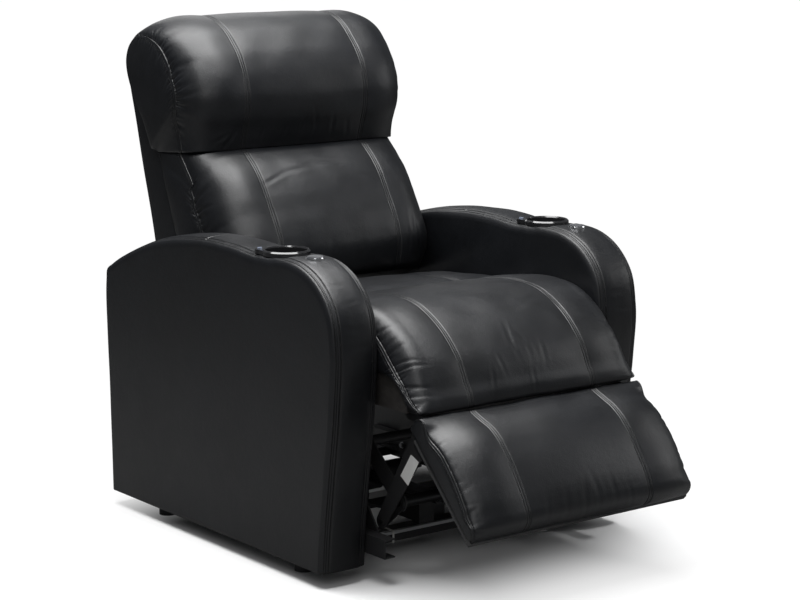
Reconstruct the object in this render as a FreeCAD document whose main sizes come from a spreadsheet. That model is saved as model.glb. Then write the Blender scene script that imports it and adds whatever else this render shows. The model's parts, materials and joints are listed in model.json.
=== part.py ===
import FreeCAD, Part
import math
import os

import Sketcher
from FreeCAD import Placement, Rotation, Vector

# Cinema recliner seat: two upholstered arms with cup holders and push buttons, a fixed seat,
# a reclining back with a headrest roll, and a powered footrest on a parallel linkage.
# Millimetres, +Z up, the front of the seat faces -Y, and +X is the viewer's right from the front.
# The origin lies on the floor under the middle of the whole seat as it stands.

SIZES = (
    ("clear_width", 588.0, "between the inner faces of the arms"),
    ("arm_width", 114.0, "one arm across"),
    ("arm_skin", 12.0, "leather with its foam on an arm"),
    ("glide_height", 34.0, "floor to the underside of the arms"),
    ("glide_radius", 20.0, "round glide under an arm"),
    ("glide_front_place", -143.0, "front glides along the seat"),
    ("glide_rear_place", 394.0, "rear glides along the seat"),
    ("glide_stem_radius", 6.0, "threaded stem of a glide"),
    ("glide_stem_length", 18.0, "stem above the underside of the arm"),
    ("cup_place", -89.0, "cup holders along the seat"),
    ("cup_bore_radius", 43.5, "opening of a cup holder"),
    ("cup_wall", 1.8, "wall of a cup holder"),
    ("cup_depth", 76.0, "rim to the inner floor of the cup"),
    ("cup_flange_radius", 50.0, "round part of the flange"),
    ("cup_flange_height", 11.0, "thickness of the flange"),
    ("cup_rim_level", 668.0, "top of the cup flange above the floor"),
    ("tab_reach", 56.5, "cup axis to the lamp button"),
    ("tab_radius", 10.0, "round end of the flange's tab"),
    ("tab_turn", 130.0, "direction of the tab, in degrees from +X"),
    ("lamp_button_radius", 5.0, "lamp button on the tab"),
    ("lamp_button_rise", 1.4, "lamp button above the flange"),
    ("lamp_button_height", 6.0, "lamp button from foot to top"),
    ("switch_place", -191.5, "button pucks along the seat"),
    ("switch_seat", 655.0, "leather under the puck above the floor"),
    ("switch_height", 10.0, "puck above the leather"),
    ("switch_radius", 19.0, "bezel of the puck"),
    ("switch_rim", 2.6, "width of the bezel's rim"),
    ("switch_depth", 22.0, "puck below the leather"),
    ("switch_well", 9.0, "well of the bezel below its rim"),
    ("button_gap", 1.4, "slot between the two half-round buttons"),
    ("button_rise", 1.6, "buttons above the bezel"),
    ("button_height", 8.0, "a button from foot to top"),
    ("slide_gap", 0.4, "clearance round a button"),
    ("running_gap", 0.5, "clearance of plates that pass each other"),
    ("soft_gap", 3.0, "clearance of the cushions to the arms"),
    ("rail_height", 40.0, "side rail"),
    ("rail_flange", 27.0, "side rail across the seat"),
    ("sheet_steel", 3.0, "thickness of the rails"),
    ("plate_steel", 4.0, "thickness of bearing plates and links"),
    ("rail_level", 60.0, "underside of the side rails"),
    ("rail_front", -346.0, "front end of the side rails"),
    ("rail_length", 816.0, "side rail"),
    ("cross_rail_width", 44.0, "cross rail along the seat"),
    ("cross_rail_height", 22.0, "cross rail"),
    ("cross_front_place", -172.0, "middle of the front cross rail"),
    ("cross_middle_place", 62.0, "middle of the middle cross rail"),
    ("cross_rear_place", 421.0, "middle of the rear cross rail"),
    ("tube_radius", 12.5, "torque tubes"),
    ("tube_wall", 2.5, "wall of the tubes"),
    ("boss_margin", 8.0, "steel around a tube's bearing"),
    ("brace_radius", 11.0, "cross tube under the seat"),
    ("brace_place", -215.0, "cross tube along the seat"),
    ("brace_level", 272.0, "cross tube above the floor"),
    ("hinge_place", -455.0, "footrest hinge along the seat"),
    ("hinge_level", 357.0, "footrest hinge above the floor"),
    ("hinge_pin_radius", 4.0, "hinge pins"),
    ("ear_margin", 5.0, "steel around a pin"),
    ("crank_back", 51.0, "footrest hinge to the link's upper pin, backward"),
    ("crank_down", 51.0, "footrest hinge to the link's upper pin, downward"),
    ("link_foot_place", -280.0, "link's lower pin along the seat"),
    ("link_foot_level", 118.0, "link's lower pin above the floor"),
    ("link_pin_radius", 5.0, "link pins"),
    ("link_foot_radius", 15.0, "lower end of the wide link"),
    ("link_head_radius", 25.0, "upper end of the wide link"),
    ("open_pivot_gap", 0.4, "radial clearance at the link's upper pin, where the linkage is opened"),
    ("pin_gap", 0.1, "radial clearance of a running pin"),
    ("footrest_open", 42.0, "turn from the rest pose to fully open, in degrees"),
    ("footrest_close", 43.0, "turn from the rest pose to closed, in degrees"),
    ("footrest_tilt", 45.7, "slope of the footrest below the level at rest, in degrees"),
    ("footrest_top", 10.0, "hinge to the upper edge of the footrest board"),
    ("footrest_length", 245.0, "footrest board"),
    ("footrest_board", 12.0, "thickness of the footrest board"),
    ("footrest_depth", 28.0, "hinge to the front face of the board"),
    ("roll_radius", 15.0, "rolled upper edge of the footrest cushion"),
    ("cam_drop_footrest", 45.0, "torque tube to the footrest actuator's axis"),
    ("cam_drop_recline", 90.0, "back pivot to the recline actuator's axis"),
    ("cam_pin_radius", 5.0, "cross pin of an actuator's rod"),
    ("cam_gap", 0.6, "clearance of the cross pin in its cam slot"),
    ("cam_rim", 10.0, "steel around a cam slot"),
    ("cam_plate", 6.0, "thickness of a cam plate"),
    ("rod_radius", 8.0, "actuator rod"),
    ("sleeve_radius", 14.0, "outer tube of an actuator"),
    ("footrest_sleeve", 240.0, "outer tube of the footrest actuator"),
    ("recline_sleeve", 200.0, "outer tube of the recline actuator"),
    ("fork_reach", 30.0, "cross pin to the back of the rod's fork"),
    ("fork_margin", 7.0, "steel around the cross pin in the fork"),
    ("footrest_grip", 100.0, "footrest rod inside its outer tube at rest"),
    ("recline_grip", 90.0, "recline rod inside its outer tube at rest"),
    ("gearbox_half", 24.0, "half the width of an actuator's gearbox"),
    ("rod_reserve", 4.0, "fork to the mouth of the outer tube with the rod fully in"),
    ("footrest_drive_x", -60.0, "footrest actuator across the seat"),
    ("recline_drive_x", 70.0, "recline actuator across the seat"),
    ("back_pivot_place", 300.0, "back pivot along the seat"),
    ("back_pivot_level", 470.0, "back pivot above the floor"),
    ("recline_angle", 30.0, "turn of the back from the rest pose, in degrees"),
    ("box_level", 373.0, "underside of the seat box"),
    ("box_height", 67.0, "boards of the seat box"),
    ("box_front", -408.0, "front of the seat box"),
    ("box_length", 753.0, "seat box along the seat"),
    ("front_board_height", 50.0, "front board of the seat box"),
    ("pad_lift", 5.0, "underside of the box to that of the front pad"),
    ("board", 18.0, "boards of the seat and the back"),
    ("web_thickness", 1.5, "webbing strap"),
    ("web_width", 50.0, "webbing strap"),
    ("web_straps", 5.0, "straps along the seat"),
    ("web_cross_straps", 6.0, "straps across the seat"),
    ("back_board", 22.0, "padded side boards of the back"),
    ("back_half", 284.0, "half the width of the back box"),
    ("back_skin", 8.0, "rear panel of the back"),
    ("supply_width", 58.0, "power supply across the seat"),
    ("supply_length", 118.0, "power supply along the seat"),
    ("supply_height", 44.0, "power supply"),
    ("supply_middle", -13.0, "power supply's middle across the seat"),
    ("cable_radius", 3.0, "supply cable"),
)

document = FreeCAD.newDocument("cinema_recliner_seat")
sheet = document.addObject("Spreadsheet::Sheet", "Sizes")
for row, (alias, number, note) in enumerate(SIZES, start=1):
    sheet.set(f"A{row}", note)
    sheet.set(f"B{row}", str(number))
    sheet.setAlias(f"B{row}", alias)
document.recompute()


def size(alias):
    """Return one driving size from the sheet."""
    return float(sheet.get(alias))


# Places and sizes that follow from the driving ones.
clear_half = size("clear_width") / 2
arm_middle = clear_half + size("arm_width") / 2
soft_half = clear_half - size("soft_gap")
rail_top = size("rail_level") + size("rail_height")
rail_bottom = size("rail_level")
plate = size("plate_steel")
plate_outer = clear_half - size("rail_flange")
plate_inner = plate_outer - plate
ear_outer = plate_inner - size("running_gap")
ear_inner = ear_outer - plate
bracket_outer = ear_inner - size("running_gap")
bracket_inner = bracket_outer - plate
link_outer = bracket_inner - size("running_gap")
link_inner = link_outer - plate
crank_outer = link_inner - size("running_gap")
crank_inner = crank_outer - plate
bearing_outer = crank_inner - 2 * size("running_gap")
bearing_inner = bearing_outer - plate
box_level = size("box_level")
box_top = box_level + size("box_height")
box_front = size("box_front")
box_rear = box_front + size("box_length")
soft_floor = box_top + 2 * size("web_thickness")
pad_floor = box_level + size("pad_lift")
hinge = (size("hinge_place"), size("hinge_level"))
link_head = (hinge[0] + size("crank_back"), hinge[1] - size("crank_down"))
link_foot = (size("link_foot_place"), size("link_foot_level"))
torque_axis = (link_foot[0] - size("crank_back"), link_foot[1] + size("crank_down"))
brace = (size("brace_place"), size("brace_level"))
back_pivot = (size("back_pivot_place"), size("back_pivot_level"))
footrest_drive_level = torque_axis[1] - size("cam_drop_footrest")
recline_drive_level = back_pivot[1] - size("cam_drop_recline")
back_ear_outer = size("back_half") - size("back_board")
back_ear_inner = back_ear_outer - plate
SIDES = (("left", -1), ("right", 1))

sub_parts = []


def register(thing, label):
    """Give a finished sub-part its file name and keep it for the export."""
    thing.Label = label
    sub_parts.append(thing)
    return thing


def solid(label, shape, place=None):
    """Keep a shape that Part's own functions made as one sub-part."""
    feature = document.addObject("Part::Feature", label)
    feature.Shape = shape
    feature.Placement = place or Placement()
    return register(feature, label)


def new_body(label, place=None):
    """Start a body that stands at its own placement."""
    body = document.addObject("PartDesign::Body", label)
    body.Placement = place or Placement()
    return register(body, label)


def new_sketch(body, name, role, offset=0.0):
    """Start a sketch on one of the body's own origin planes."""
    sketch = body.newObject("Sketcher::SketchObject", name)
    support = next(item for item in body.Origin.OriginFeatures if item.Role == role)
    sketch.AttachmentSupport = (support, "")
    sketch.MapMode = "FlatFace"
    sketch.AttachmentOffset = Placement(Vector(0, 0, offset), Rotation())
    return sketch


def draw_circle(sketch, centre, rule):
    """Draw a circle whose radius is an expression of the sheet."""
    index = sketch.addGeometry(Part.Circle(Vector(*centre, 0), Vector(0, 0, 1), 5.0), False)
    place = sketch.addConstraint(Sketcher.Constraint("Radius", index, 5.0))
    sketch.setExpression(f"Constraints[{place}]", rule)
    for axis, value in (("DistanceX", centre[0]), ("DistanceY", centre[1])):
        sketch.addConstraint(Sketcher.Constraint(axis, -1, 1, index, 3, value))


def draw_outline(sketch, points):
    """Draw a closed outline of straight lines."""
    count = len(points)
    for start, end in zip(points, points[1:] + points[:1]):
        sketch.addGeometry(Part.LineSegment(Vector(*start, 0), Vector(*end, 0)), False)
    for index in range(count):
        sketch.addConstraint(Sketcher.Constraint("Coincident", index, 2, (index + 1) % count, 1))


def add_pad(body, sketch, rule, symmetric=False, backward=False):
    """Pad a sketch by an expression of the sheet."""
    feature = body.newObject("PartDesign::Pad", "Pad")
    feature.Profile = sketch
    feature.setExpression("Length", rule)
    if symmetric:
        feature.SideType = "Symmetric"
    feature.Reversed = backward
    return feature


def add_revolution(body, sketch):
    """Turn a sketch once round its vertical axis."""
    feature = body.newObject("PartDesign::Revolution", "Revolution")
    feature.Profile = sketch
    feature.ReferenceAxis = (sketch, ["V_Axis"])
    feature.Angle = 360.0
    return feature


def side_face(points, x):
    """Flat face of the side plane at one place across the seat."""
    vectors = [Vector(x, y, z) for y, z in points]
    return Part.Face(Part.makePolygon(vectors + vectors[:1]))


def plate_between(points, low, high):
    """Flat plate of the side plane between two places across the seat."""
    return side_face(points, low).extrude(Vector(high - low, 0, 0))


def bar_across(centre, radius, low, high):
    """Round bar across the seat."""
    return Part.makeCylinder(radius, high - low, Vector(low, *centre), Vector(1, 0, 0))


def tube_across(centre, radius, wall, half):
    """Tube across the seat, as far to the left as to the right."""
    outside = bar_across(centre, radius, -half, half)
    return outside.cut(bar_across(centre, radius - wall, -half, half))


def block(low, high):
    """Block between its two corners."""
    return Part.makeBox(*(b - a for a, b in zip(low, high)), Vector(*low))


def for_side(shape, sign):
    """A form drawn for +X, or its mirror image for the left."""
    return shape if sign > 0 else shape.mirror(Vector(0, 0, 0), Vector(1, 0, 0))


def tapered_plate(foot, foot_radius, head, head_radius, low, high):
    """Plate with two round ends of different size and straight sides tangent to both."""
    along = math.atan2(head[1] - foot[1], head[0] - foot[0])
    lean = math.acos((head_radius - foot_radius) / math.dist(foot, head)) - math.pi / 2

    def on_end(centre, radius, angle):
        return Vector(low, centre[0] + radius * math.cos(angle), centre[1] + radius * math.sin(angle))

    left, right = along + math.pi / 2 + lean, along - math.pi / 2 - lean
    head_arc = Part.Arc(on_end(head, head_radius, right), on_end(head, head_radius, along),
                        on_end(head, head_radius, left)).toShape()
    foot_arc = Part.Arc(on_end(foot, foot_radius, left), on_end(foot, foot_radius, along + math.pi),
                        on_end(foot, foot_radius, right)).toShape()
    sides = [Part.makeLine(on_end(head, head_radius, turn), on_end(foot, foot_radius, turn))
             for turn in (left, right)]
    face = Part.Face(Part.Wire([head_arc, sides[0], foot_arc, sides[1]]))
    return face.extrude(Vector(high - low, 0, 0))


def inset_point(before, point, after, inset):
    """Move a point of a padded outline into the padding, square to the chord of its neighbours."""
    run = (after[0] - before[0], after[1] - before[1])
    span = math.hypot(*run)
    return (point[0] + inset * run[1] / span, point[1] - inset * run[0] / span)


def slid_point(point, toward, inset):
    """Move an end of the padded stretch along the edge that closes the outline."""
    run = (toward[0] - point[0], toward[1] - point[1])
    span = math.hypot(*run)
    return (point[0] + inset * run[0] / span, point[1] + inset * run[1] / span)


def padded_section(soft, closing, x, inset, curved):
    """Closed section across an upholstered form.

    The soft stretch is a list of (y, z, share), with the padding to the right of the way it
    runs. A curved one is made of arcs through each three points, the others of short lines.
    The share says how much of the inset reaches that point. Straight lines through the closing
    points join its end to its start; each is (y, z, step_y, step_z), and moves by its steps for
    each millimetre of inset.
    """
    places = [point[:2] for point in soft]
    shares = [inset * point[2] for point in soft]
    corners = [(y + inset * step_y, z + inset * step_z) for y, z, step_y, step_z in closing]
    ends = corners or [places[0], places[-1]]
    moved = [slid_point(places[0], ends[-1], shares[0])]
    for index in range(1, len(places) - 1):
        moved.append(inset_point(*places[index - 1:index + 2], shares[index]))
    moved.append(slid_point(places[-1], ends[0], shares[-1]))
    vectors = [Vector(x, *place) for place in moved]
    if curved:
        edges = [Part.Arc(*vectors[index:index + 3]).toShape() for index in range(0, len(vectors) - 2, 2)]
    else:
        edges = [Part.makeLine(*pair) for pair in zip(vectors, vectors[1:])]
    rest = [vectors[-1]] + [Vector(x, *corner) for corner in corners] + [vectors[0]]
    edges += [Part.makeLine(*pair) for pair in zip(rest, rest[1:])]
    return Part.Wire(edges)


def padded_form(soft, closing, stations, curved=False):
    """Upholstered form through its sections at places across the seat."""
    wires = [padded_section(soft, closing, x, inset, curved) for x, inset in stations]
    return Part.makeLoft(wires, True, True)


def both_ways(half_stations):
    """Mirror the stations from the middle outward to the other side."""
    return [(-x, inset) for x, inset in reversed(half_stations) if x > 0] + list(half_stations)


# The arms' outline from the toe up the front, over the top with its dip, and down the rear.
ARM_OUTLINE = (
    (-283.6, size("glide_height"), 1), (-292.0, 130.0, 1), (-304.0, 223.0, 1), (-324.0, 380.0, 1),
    (-330.0, 504.0, 1), (-315.0, 575.0, 1), (-271.0, 625.0, 1), (-215.0, 652.0, 1),
    (-146.0, 659.5, 1), (-90.0, 656.5, 1), (-34.0, 656.0, 1), (20.0, 661.5, 1), (75.0, 664.0, 1),
    (200.0, 659.0, 1), (320.0, 641.0, 1), (444.0, 602.0, 1), (532.0, 561.0, 1), (553.0, 548.0, 1),
    (557.0, 525.0, 1), (554.0, 290.0, 1), (549.6, size("glide_height"), 1),
)


# Long enough to cut a well out through the top of an arm from any depth.
WELL_LENGTH = 150.0


def make_arm(name, sign):
    """Leather-covered arm: the padded cover, and the light core that fills it."""
    half, skin = size("arm_width") / 2, size("arm_skin")
    low = size("glide_height")
    edge = [(half - 11.0, 0.0), (half - 3.5, 4.5), (half, 11.0)]
    outside = padded_form(ARM_OUTLINE, (), both_ways(edge), True)
    core = padded_form(ARM_OUTLINE, (), [(-half + skin, skin), (half - skin, skin)], True)
    cup_radius = size("cup_bore_radius") + size("cup_wall") + size("slide_gap")
    cup_foot = size("cup_rim_level") - size("cup_depth") - size("cup_wall") - size("slide_gap")
    wells = [Part.makeCylinder(cup_radius, WELL_LENGTH, Vector(0, size("cup_place"), cup_foot))]
    puck_foot = size("switch_seat") - size("switch_depth") - size("slide_gap")
    puck_radius = size("switch_radius") - size("switch_rim") + size("slide_gap")
    wells.append(Part.makeCylinder(puck_radius, WELL_LENGTH, Vector(0, size("switch_place"), puck_foot)))
    seats = [Part.makeCylinder(size("cup_flange_radius") + 1.0, 40.0,
                               Vector(0, size("cup_place"), size("cup_rim_level") - size("cup_flange_height"))),
             Part.makeCylinder(size("switch_radius") + 1.0, 40.0,
                               Vector(0, size("switch_place"), size("switch_seat")))]
    cover = outside.cut(core).cut(seats[0]).cut(seats[1])
    for well in wells:
        cover, core = cover.cut(well), core.cut(well)
    for along in (size("glide_front_place"), size("glide_rear_place")):
        stem = Part.makeCylinder(size("glide_stem_radius"), size("glide_stem_length"), Vector(0, along, low))
        core = core.cut(stem)
    place = Placement(Vector(sign * arm_middle, 0, 0), Rotation())
    solid(f"arm_{name}_cover", cover, place)
    solid(f"arm_{name}_core", core, place)


def make_glides():
    """Four round glides with their stems up in the arms' cores, as one node."""
    low, stem = size("glide_height"), size("glide_stem_radius")
    foot = size("glide_radius")
    top = low + size("glide_stem_length")
    outline = [(0, 0), (foot, 0), (foot, 14), (foot - 6, low), (stem, low), (stem, top), (0, top)]
    face = Part.Face(Part.makePolygon([Vector(x, 0, z) for x, z in outline + outline[:1]]))
    glide = face.revolve(Vector(0, 0, 0), Vector(0, 0, 1), 360)
    glides = [glide.translated(Vector(sign * arm_middle, along, 0))
              for _, sign in SIDES for along in (size("glide_front_place"), size("glide_rear_place"))]
    solid("glides", Part.makeCompound(glides))


def make_cup_holder(name, sign):
    """Cup holder: a drawn cup with a thick flange whose tab carries the lamp button."""
    place = Placement(Vector(sign * arm_middle, size("cup_place"), size("cup_rim_level")), Rotation())
    body = new_body(f"cup_holder_{name}", place)
    bore, wall, depth = size("cup_bore_radius"), size("cup_wall"), size("cup_depth")
    flange, thick = size("cup_flange_radius"), size("cup_flange_height")
    turned = new_sketch(body, "CupProfile", "XZ_Plane")
    draw_outline(turned, [
        (0, -depth), (bore - 6, -depth), (bore, -depth + 6), (bore, -3), (bore + 2, 0),
        (flange - 3, 0), (flange, -3), (flange, -thick), (bore + wall, -thick),
        (bore + wall, -depth + 5), (bore - 5, -depth - wall), (0, -depth - wall)])
    add_revolution(body, turned)
    tab = new_sketch(body, "TabOutline", "XY_Plane", -2.0)
    turn, reach, end = math.radians(size("tab_turn")), size("tab_reach"), size("tab_radius")

    def across(along, aside):
        return (along * math.cos(turn) - aside * math.sin(turn),
                along * math.sin(turn) + aside * math.cos(turn))

    shoulder = bore + wall
    arc = [across(reach + end * math.cos(step), end * math.sin(step))
           for step in (math.radians(angle) for angle in range(-90, 91, 15))]
    draw_outline(tab, [across(0.86 * shoulder, -0.56 * shoulder)] + arc
                 + [across(0.86 * shoulder, 0.56 * shoulder)])
    add_pad(body, tab, "Sizes.cup_flange_height - 2", backward=True)
    document.recompute()
    bore_sketch = new_sketch(body, "LampHole", "XY_Plane")
    draw_circle(bore_sketch, across(reach, 0), "Sizes.lamp_button_radius + Sizes.slide_gap")
    hole = body.newObject("PartDesign::Pocket", "LampHole")
    hole.Profile = bore_sketch
    hole.setExpression("Length", "Sizes.lamp_button_height + 1")
    inner = new_sketch(body, "CupBore", "XY_Plane")
    draw_circle(inner, (0, 0), "Sizes.cup_bore_radius")
    clear = body.newObject("PartDesign::Pocket", "CupBore")
    clear.Profile = inner
    clear.setExpression("Length", "Sizes.cup_depth - 6")
    lamp = new_body(f"lamp_button_{name}", place)
    disc = new_sketch(lamp, "ButtonOutline", "XY_Plane", size("lamp_button_rise"))
    draw_circle(disc, across(reach, 0), "Sizes.lamp_button_radius")
    add_pad(lamp, disc, "Sizes.lamp_button_height", backward=True)


def make_switch(name, sign):
    """Button puck in front of a cup holder: a bezel with two half-round buttons."""
    top = size("switch_seat") + size("switch_height")
    place = Placement(Vector(sign * arm_middle, size("switch_place"), top), Rotation())
    rim, radius = size("switch_rim"), size("switch_radius")
    seat, foot = -size("switch_height"), -size("switch_height") - size("switch_depth")
    bezel = new_body(f"switch_bezel_{name}", place)
    turned = new_sketch(bezel, "BezelProfile", "XZ_Plane")
    draw_outline(turned, [
        (0, foot), (radius - rim, foot), (radius - rim, seat), (radius, seat), (radius, -2),
        (radius - 1, 0), (radius - rim, 0), (radius - rim, -size("switch_well")),
        (0, -size("switch_well"))])
    add_revolution(bezel, turned)
    reach = radius - rim - size("slide_gap")
    for label, turn in (("open", 0.0), ("close", 180.0)):
        button = new_body(f"switch_{name}_{label}", Placement(place.Base, Rotation(Vector(0, 0, 1), turn)))
        half = new_sketch(button, "HalfRound", "XY_Plane", size("button_rise"))
        cut = size("button_gap") / 2
        swing = math.asin(cut / reach)
        arc = Part.ArcOfCircle(Part.Circle(Vector(), Vector(0, 0, 1), reach), swing, math.pi - swing)
        ends = [Vector(sign_x * reach * math.cos(swing), cut, 0) for sign_x in (-1, 1)]
        half.addGeometry(arc, False)
        half.addGeometry(Part.LineSegment(*ends), False)
        half.addConstraint(Sketcher.Constraint("Coincident", 0, 2, 1, 1))
        half.addConstraint(Sketcher.Constraint("Coincident", 1, 2, 0, 1))
        add_pad(button, half, "Sizes.button_height", backward=True)


def make_side_rail(name, sign):
    """Channel along the inner face of an arm, open toward the middle."""
    place = Placement(Vector(sign * plate_outer, size("rail_front"), rail_bottom), Rotation())
    body = new_body(f"side_rail_{name}", place)
    wide, high, thin = sign * size("rail_flange"), size("rail_height"), size("sheet_steel")
    web = wide - sign * thin
    section = new_sketch(body, "ChannelSection", "XZ_Plane")
    draw_outline(section, [(0, 0), (wide, 0), (wide, high), (0, high), (0, high - thin),
                           (web, high - thin), (web, thin), (0, thin)])
    add_pad(body, section, "Sizes.rail_length", backward=True)


def make_cross_rails():
    """Three shallow channels under the side rails, open downward."""
    for label in ("front", "middle", "rear"):
        along = size(f"cross_{label}_place") - size("cross_rail_width") / 2
        low = rail_bottom - size("cross_rail_height")
        body = new_body(f"cross_rail_{label}", Placement(Vector(0, along, low), Rotation()))
        wide, high, thin = size("cross_rail_width"), size("cross_rail_height"), size("sheet_steel")
        section = new_sketch(body, "ChannelSection", "YZ_Plane")
        draw_outline(section, [(0, 0), (thin, 0), (thin, high - thin), (wide - thin, high - thin),
                               (wide - thin, 0), (wide, 0), (wide, high), (0, high)])
        add_pad(body, section, "Sizes.clear_width - 2 * Sizes.running_gap", symmetric=True)


def make_front_plate(name, sign):
    """Front upright: stands on the side rail, holds the cross tube and carries the seat box."""
    y, z = brace
    outline = [(y - 70, rail_bottom), (y + 60, rail_bottom), (y + 60, rail_top + 4),
               (y + 28, rail_top + 44), (y + 25, box_top - 6), (y - 25, box_top - 6),
               (y - 28, rail_top + 60), (y - 70, rail_top + 4)]
    form = plate_between(outline, plate_inner, plate_outer)
    holes = [(brace, size("brace_radius")), ((y, z - 66), 16.0), ((y, z - 118), 16.0), ((y, z + 62), 14.0)]
    for centre, radius in holes:
        form = form.cut(bar_across(centre, radius, plate_inner - 1, plate_outer + 1))
    solid(f"front_plate_{name}", for_side(form, sign))


def make_torque_bearing(name, sign):
    """Bearing bracket of the torque tube, welded to the front cross rail and the cross tube."""
    low, high = bearing_inner, bearing_outer
    boss = size("tube_radius") + size("boss_margin")
    middle, half = size("cross_front_place"), size("cross_rail_width") / 2
    foot = (middle, rail_bottom + boss + 4.0)
    form = tapered_plate(torque_axis, boss, brace, boss - 1.0, low, high)
    form = form.fuse(tapered_plate(foot, boss - 2.0, brace, boss - 1.0, low, high))
    stand = [(middle - half, rail_bottom), (middle + half, rail_bottom), (foot[0] + boss - 3.0, foot[1]),
             (foot[0] - boss + 3.0, foot[1])]
    form = form.fuse(plate_between(stand, low, high)).removeSplitter()
    for centre, radius in ((torque_axis, size("tube_radius") + size("pin_gap")),
                           (brace, size("brace_radius"))):
        form = form.cut(bar_across(centre, radius, low - 1, high + 1))
    solid(f"torque_bearing_{name}", for_side(form, sign))


def make_rear_plate(name, sign):
    """Rear bearing plate: carries the back pivot and the rear of the seat box."""
    y, z = back_pivot
    boss = size("tube_radius") + size("boss_margin")
    outline = [(y - 66, rail_bottom), (y + 42, rail_bottom), (y + 42, rail_top + 4),
               (y + boss, rail_top + 50), (y + boss, z), (y - boss, z), (y - 34, box_top - 30),
               (y - 50, rail_top + 50), (y - 66, rail_top + 4)]
    form = plate_between(outline, plate_inner, plate_outer)
    form = form.fuse(bar_across(back_pivot, boss, plate_inner, plate_outer)).removeSplitter()
    holes = [(back_pivot, size("tube_radius") + size("pin_gap")), ((y - 14, z - 130), 14.0),
             ((y - 14, z - 210), 14.0), ((y - 14, z - 290), 14.0)]
    for centre, radius in holes:
        form = form.cut(bar_across(centre, radius, plate_inner - 1, plate_outer + 1))
    solid(f"rear_plate_{name}", for_side(form, sign))


def make_brace():
    """Cross tube between the front uprights."""
    solid("cross_tube", tube_across(brace, size("brace_radius"), size("tube_wall"), plate_outer))


def make_seat_box():
    """Boards of the seat box: the middle one is notched for the recline actuator's tube.

    The rear one is cut down at its ends, where the ears of the back swing past.
    """
    thick, slope = size("board"), 36.0
    side = [(box_front, box_level), (box_front, box_top - slope), (box_front + slope, box_top),
            (box_rear, box_top), (box_rear, box_level)]
    for name, sign in SIDES:
        solid(f"seat_board_{name}", for_side(plate_between(side, plate_outer, plate_outer + thick), sign))
    chamfer, low = 12.0, box_top - size("front_board_height")
    front = [(box_front, low), (box_front, box_top - chamfer), (box_front + chamfer, box_top),
             (box_front + thick, box_top), (box_front + thick, low)]
    solid("seat_board_front", plate_between(front, -plate_outer, plate_outer))
    edge, notch = back_ear_inner - 6.0, box_level + 32.0
    rear = Vector(0, box_rear - thick, 0)
    corners = [(-plate_outer, box_level), (plate_outer, box_level), (plate_outer, notch), (edge, notch),
               (edge, box_top), (-edge, box_top), (-edge, notch), (-plate_outer, notch)]
    face = Part.Face(Part.makePolygon([Vector(x, 0, z) + rear for x, z in corners + corners[:1]]))
    solid("seat_board_rear", face.extrude(Vector(0, thick, 0)))
    middle = size("cross_middle_place") - thick / 2
    plank = block((-plate_outer, middle, box_level), (plate_outer, middle + thick, box_top))
    drive = Vector(size("recline_drive_x"), middle - 1, recline_drive_level)
    bore = Part.makeCylinder(size("sleeve_radius"), thick + 2, drive, Vector(0, 1, 0))
    solid("seat_board_middle", plank.cut(bore))


def make_webbing():
    """Straps over the seat box: one layer along the seat and one across it."""
    thin, wide = size("web_thickness"), size("web_width")
    count, rows = int(size("web_straps")), int(size("web_cross_straps"))
    half, reach = back_ear_inner - 10.0, plate_outer + size("board") - 2.0
    front, rear = box_front + 42.0, back_pivot[0] - size("tube_radius") - 34.0
    straps = []
    for index in range(count):
        middle = -half + wide / 2 + index * (2 * half - wide) / (count - 1)
        straps.append(block((middle - wide / 2, box_front + 12, box_top),
                            (middle + wide / 2, box_rear - 2, box_top + thin)))
    for index in range(rows):
        along = front + wide / 2 + index * (rear - front - wide) / (rows - 1)
        straps.append(block((-reach, along - wide / 2, box_top + thin),
                            (reach, along + wide / 2, box_top + 2 * thin)))
    solid("seat_webbing", straps[0].multiFuse(straps[1:]).removeSplitter())


# Shares of the edge's draw-in run from the lower front of the seat over its crown to the crease.
FRONT_PAD = (
    (-461.0, pad_floor, 0.15), (-454.5, 398.0, 0.44), (-443.0, 421.0, 0.63),
    (-432.0, 445.0, 0.8), (-418.0, 468.0, 0.95), (-400.0, 489.0, 1.0), (-379.0, 509.0, 1.0),
    (-355.0, 527.0, 0.9), (-328.0, 543.0, 0.8), (-306.0, 553.0, 0.7), (-282.0, 561.0, 0.6),
    (-256.0, 565.5, 0.5), (-228.0, 567.0, 0.45), (-160.0, 564.0, 0.4), (-95.0, 553.0, 0.4),
    (-58.0, 545.0, 0.4), (-38.0, 529.0, 0.4),
)
REAR_DECK = (
    (-37.5, 523.0, 0.8), (-29.0, 533.0, 1.0), (-10.0, 537.0, 1.0), (90.0, 532.0, 1.0),
    (190.0, 523.0, 1.0), (232.0, 513.0, 1.0), (252.0, 490.0, 0.6),
)
PAD_EDGE = ((0.0, 0.0), (150.0, 1.0), (162.0, 5.0), (174.0, 1.0), (235.0, 7.0), (267.0, 12.0))


def make_seat_cushions():
    """Front pad that falls over the seat's edge, and the flat deck behind it."""
    half = soft_half
    face = box_front - 1.0
    closing = ((-38.0, soft_floor, 0, 0), (face + 1, soft_floor, 0.85, 0),
               (face, soft_floor - 1, 0, -0.85), (face, pad_floor, 0, 0))
    rim = list(PAD_EDGE) + [(half - 8.0, 30.0), (half, 46.0)]
    solid("seat_front_pad", padded_form(FRONT_PAD, closing, both_ways(rim)))
    closing = ((252.0, soft_floor, 0, 0), (-37.5, soft_floor, 0, 0))
    rim = list(PAD_EDGE[:-1]) + [(half - 10.0, 9.0), (half, 16.0)]
    solid("seat_deck", padded_form(REAR_DECK, closing, both_ways(rim)))


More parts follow.
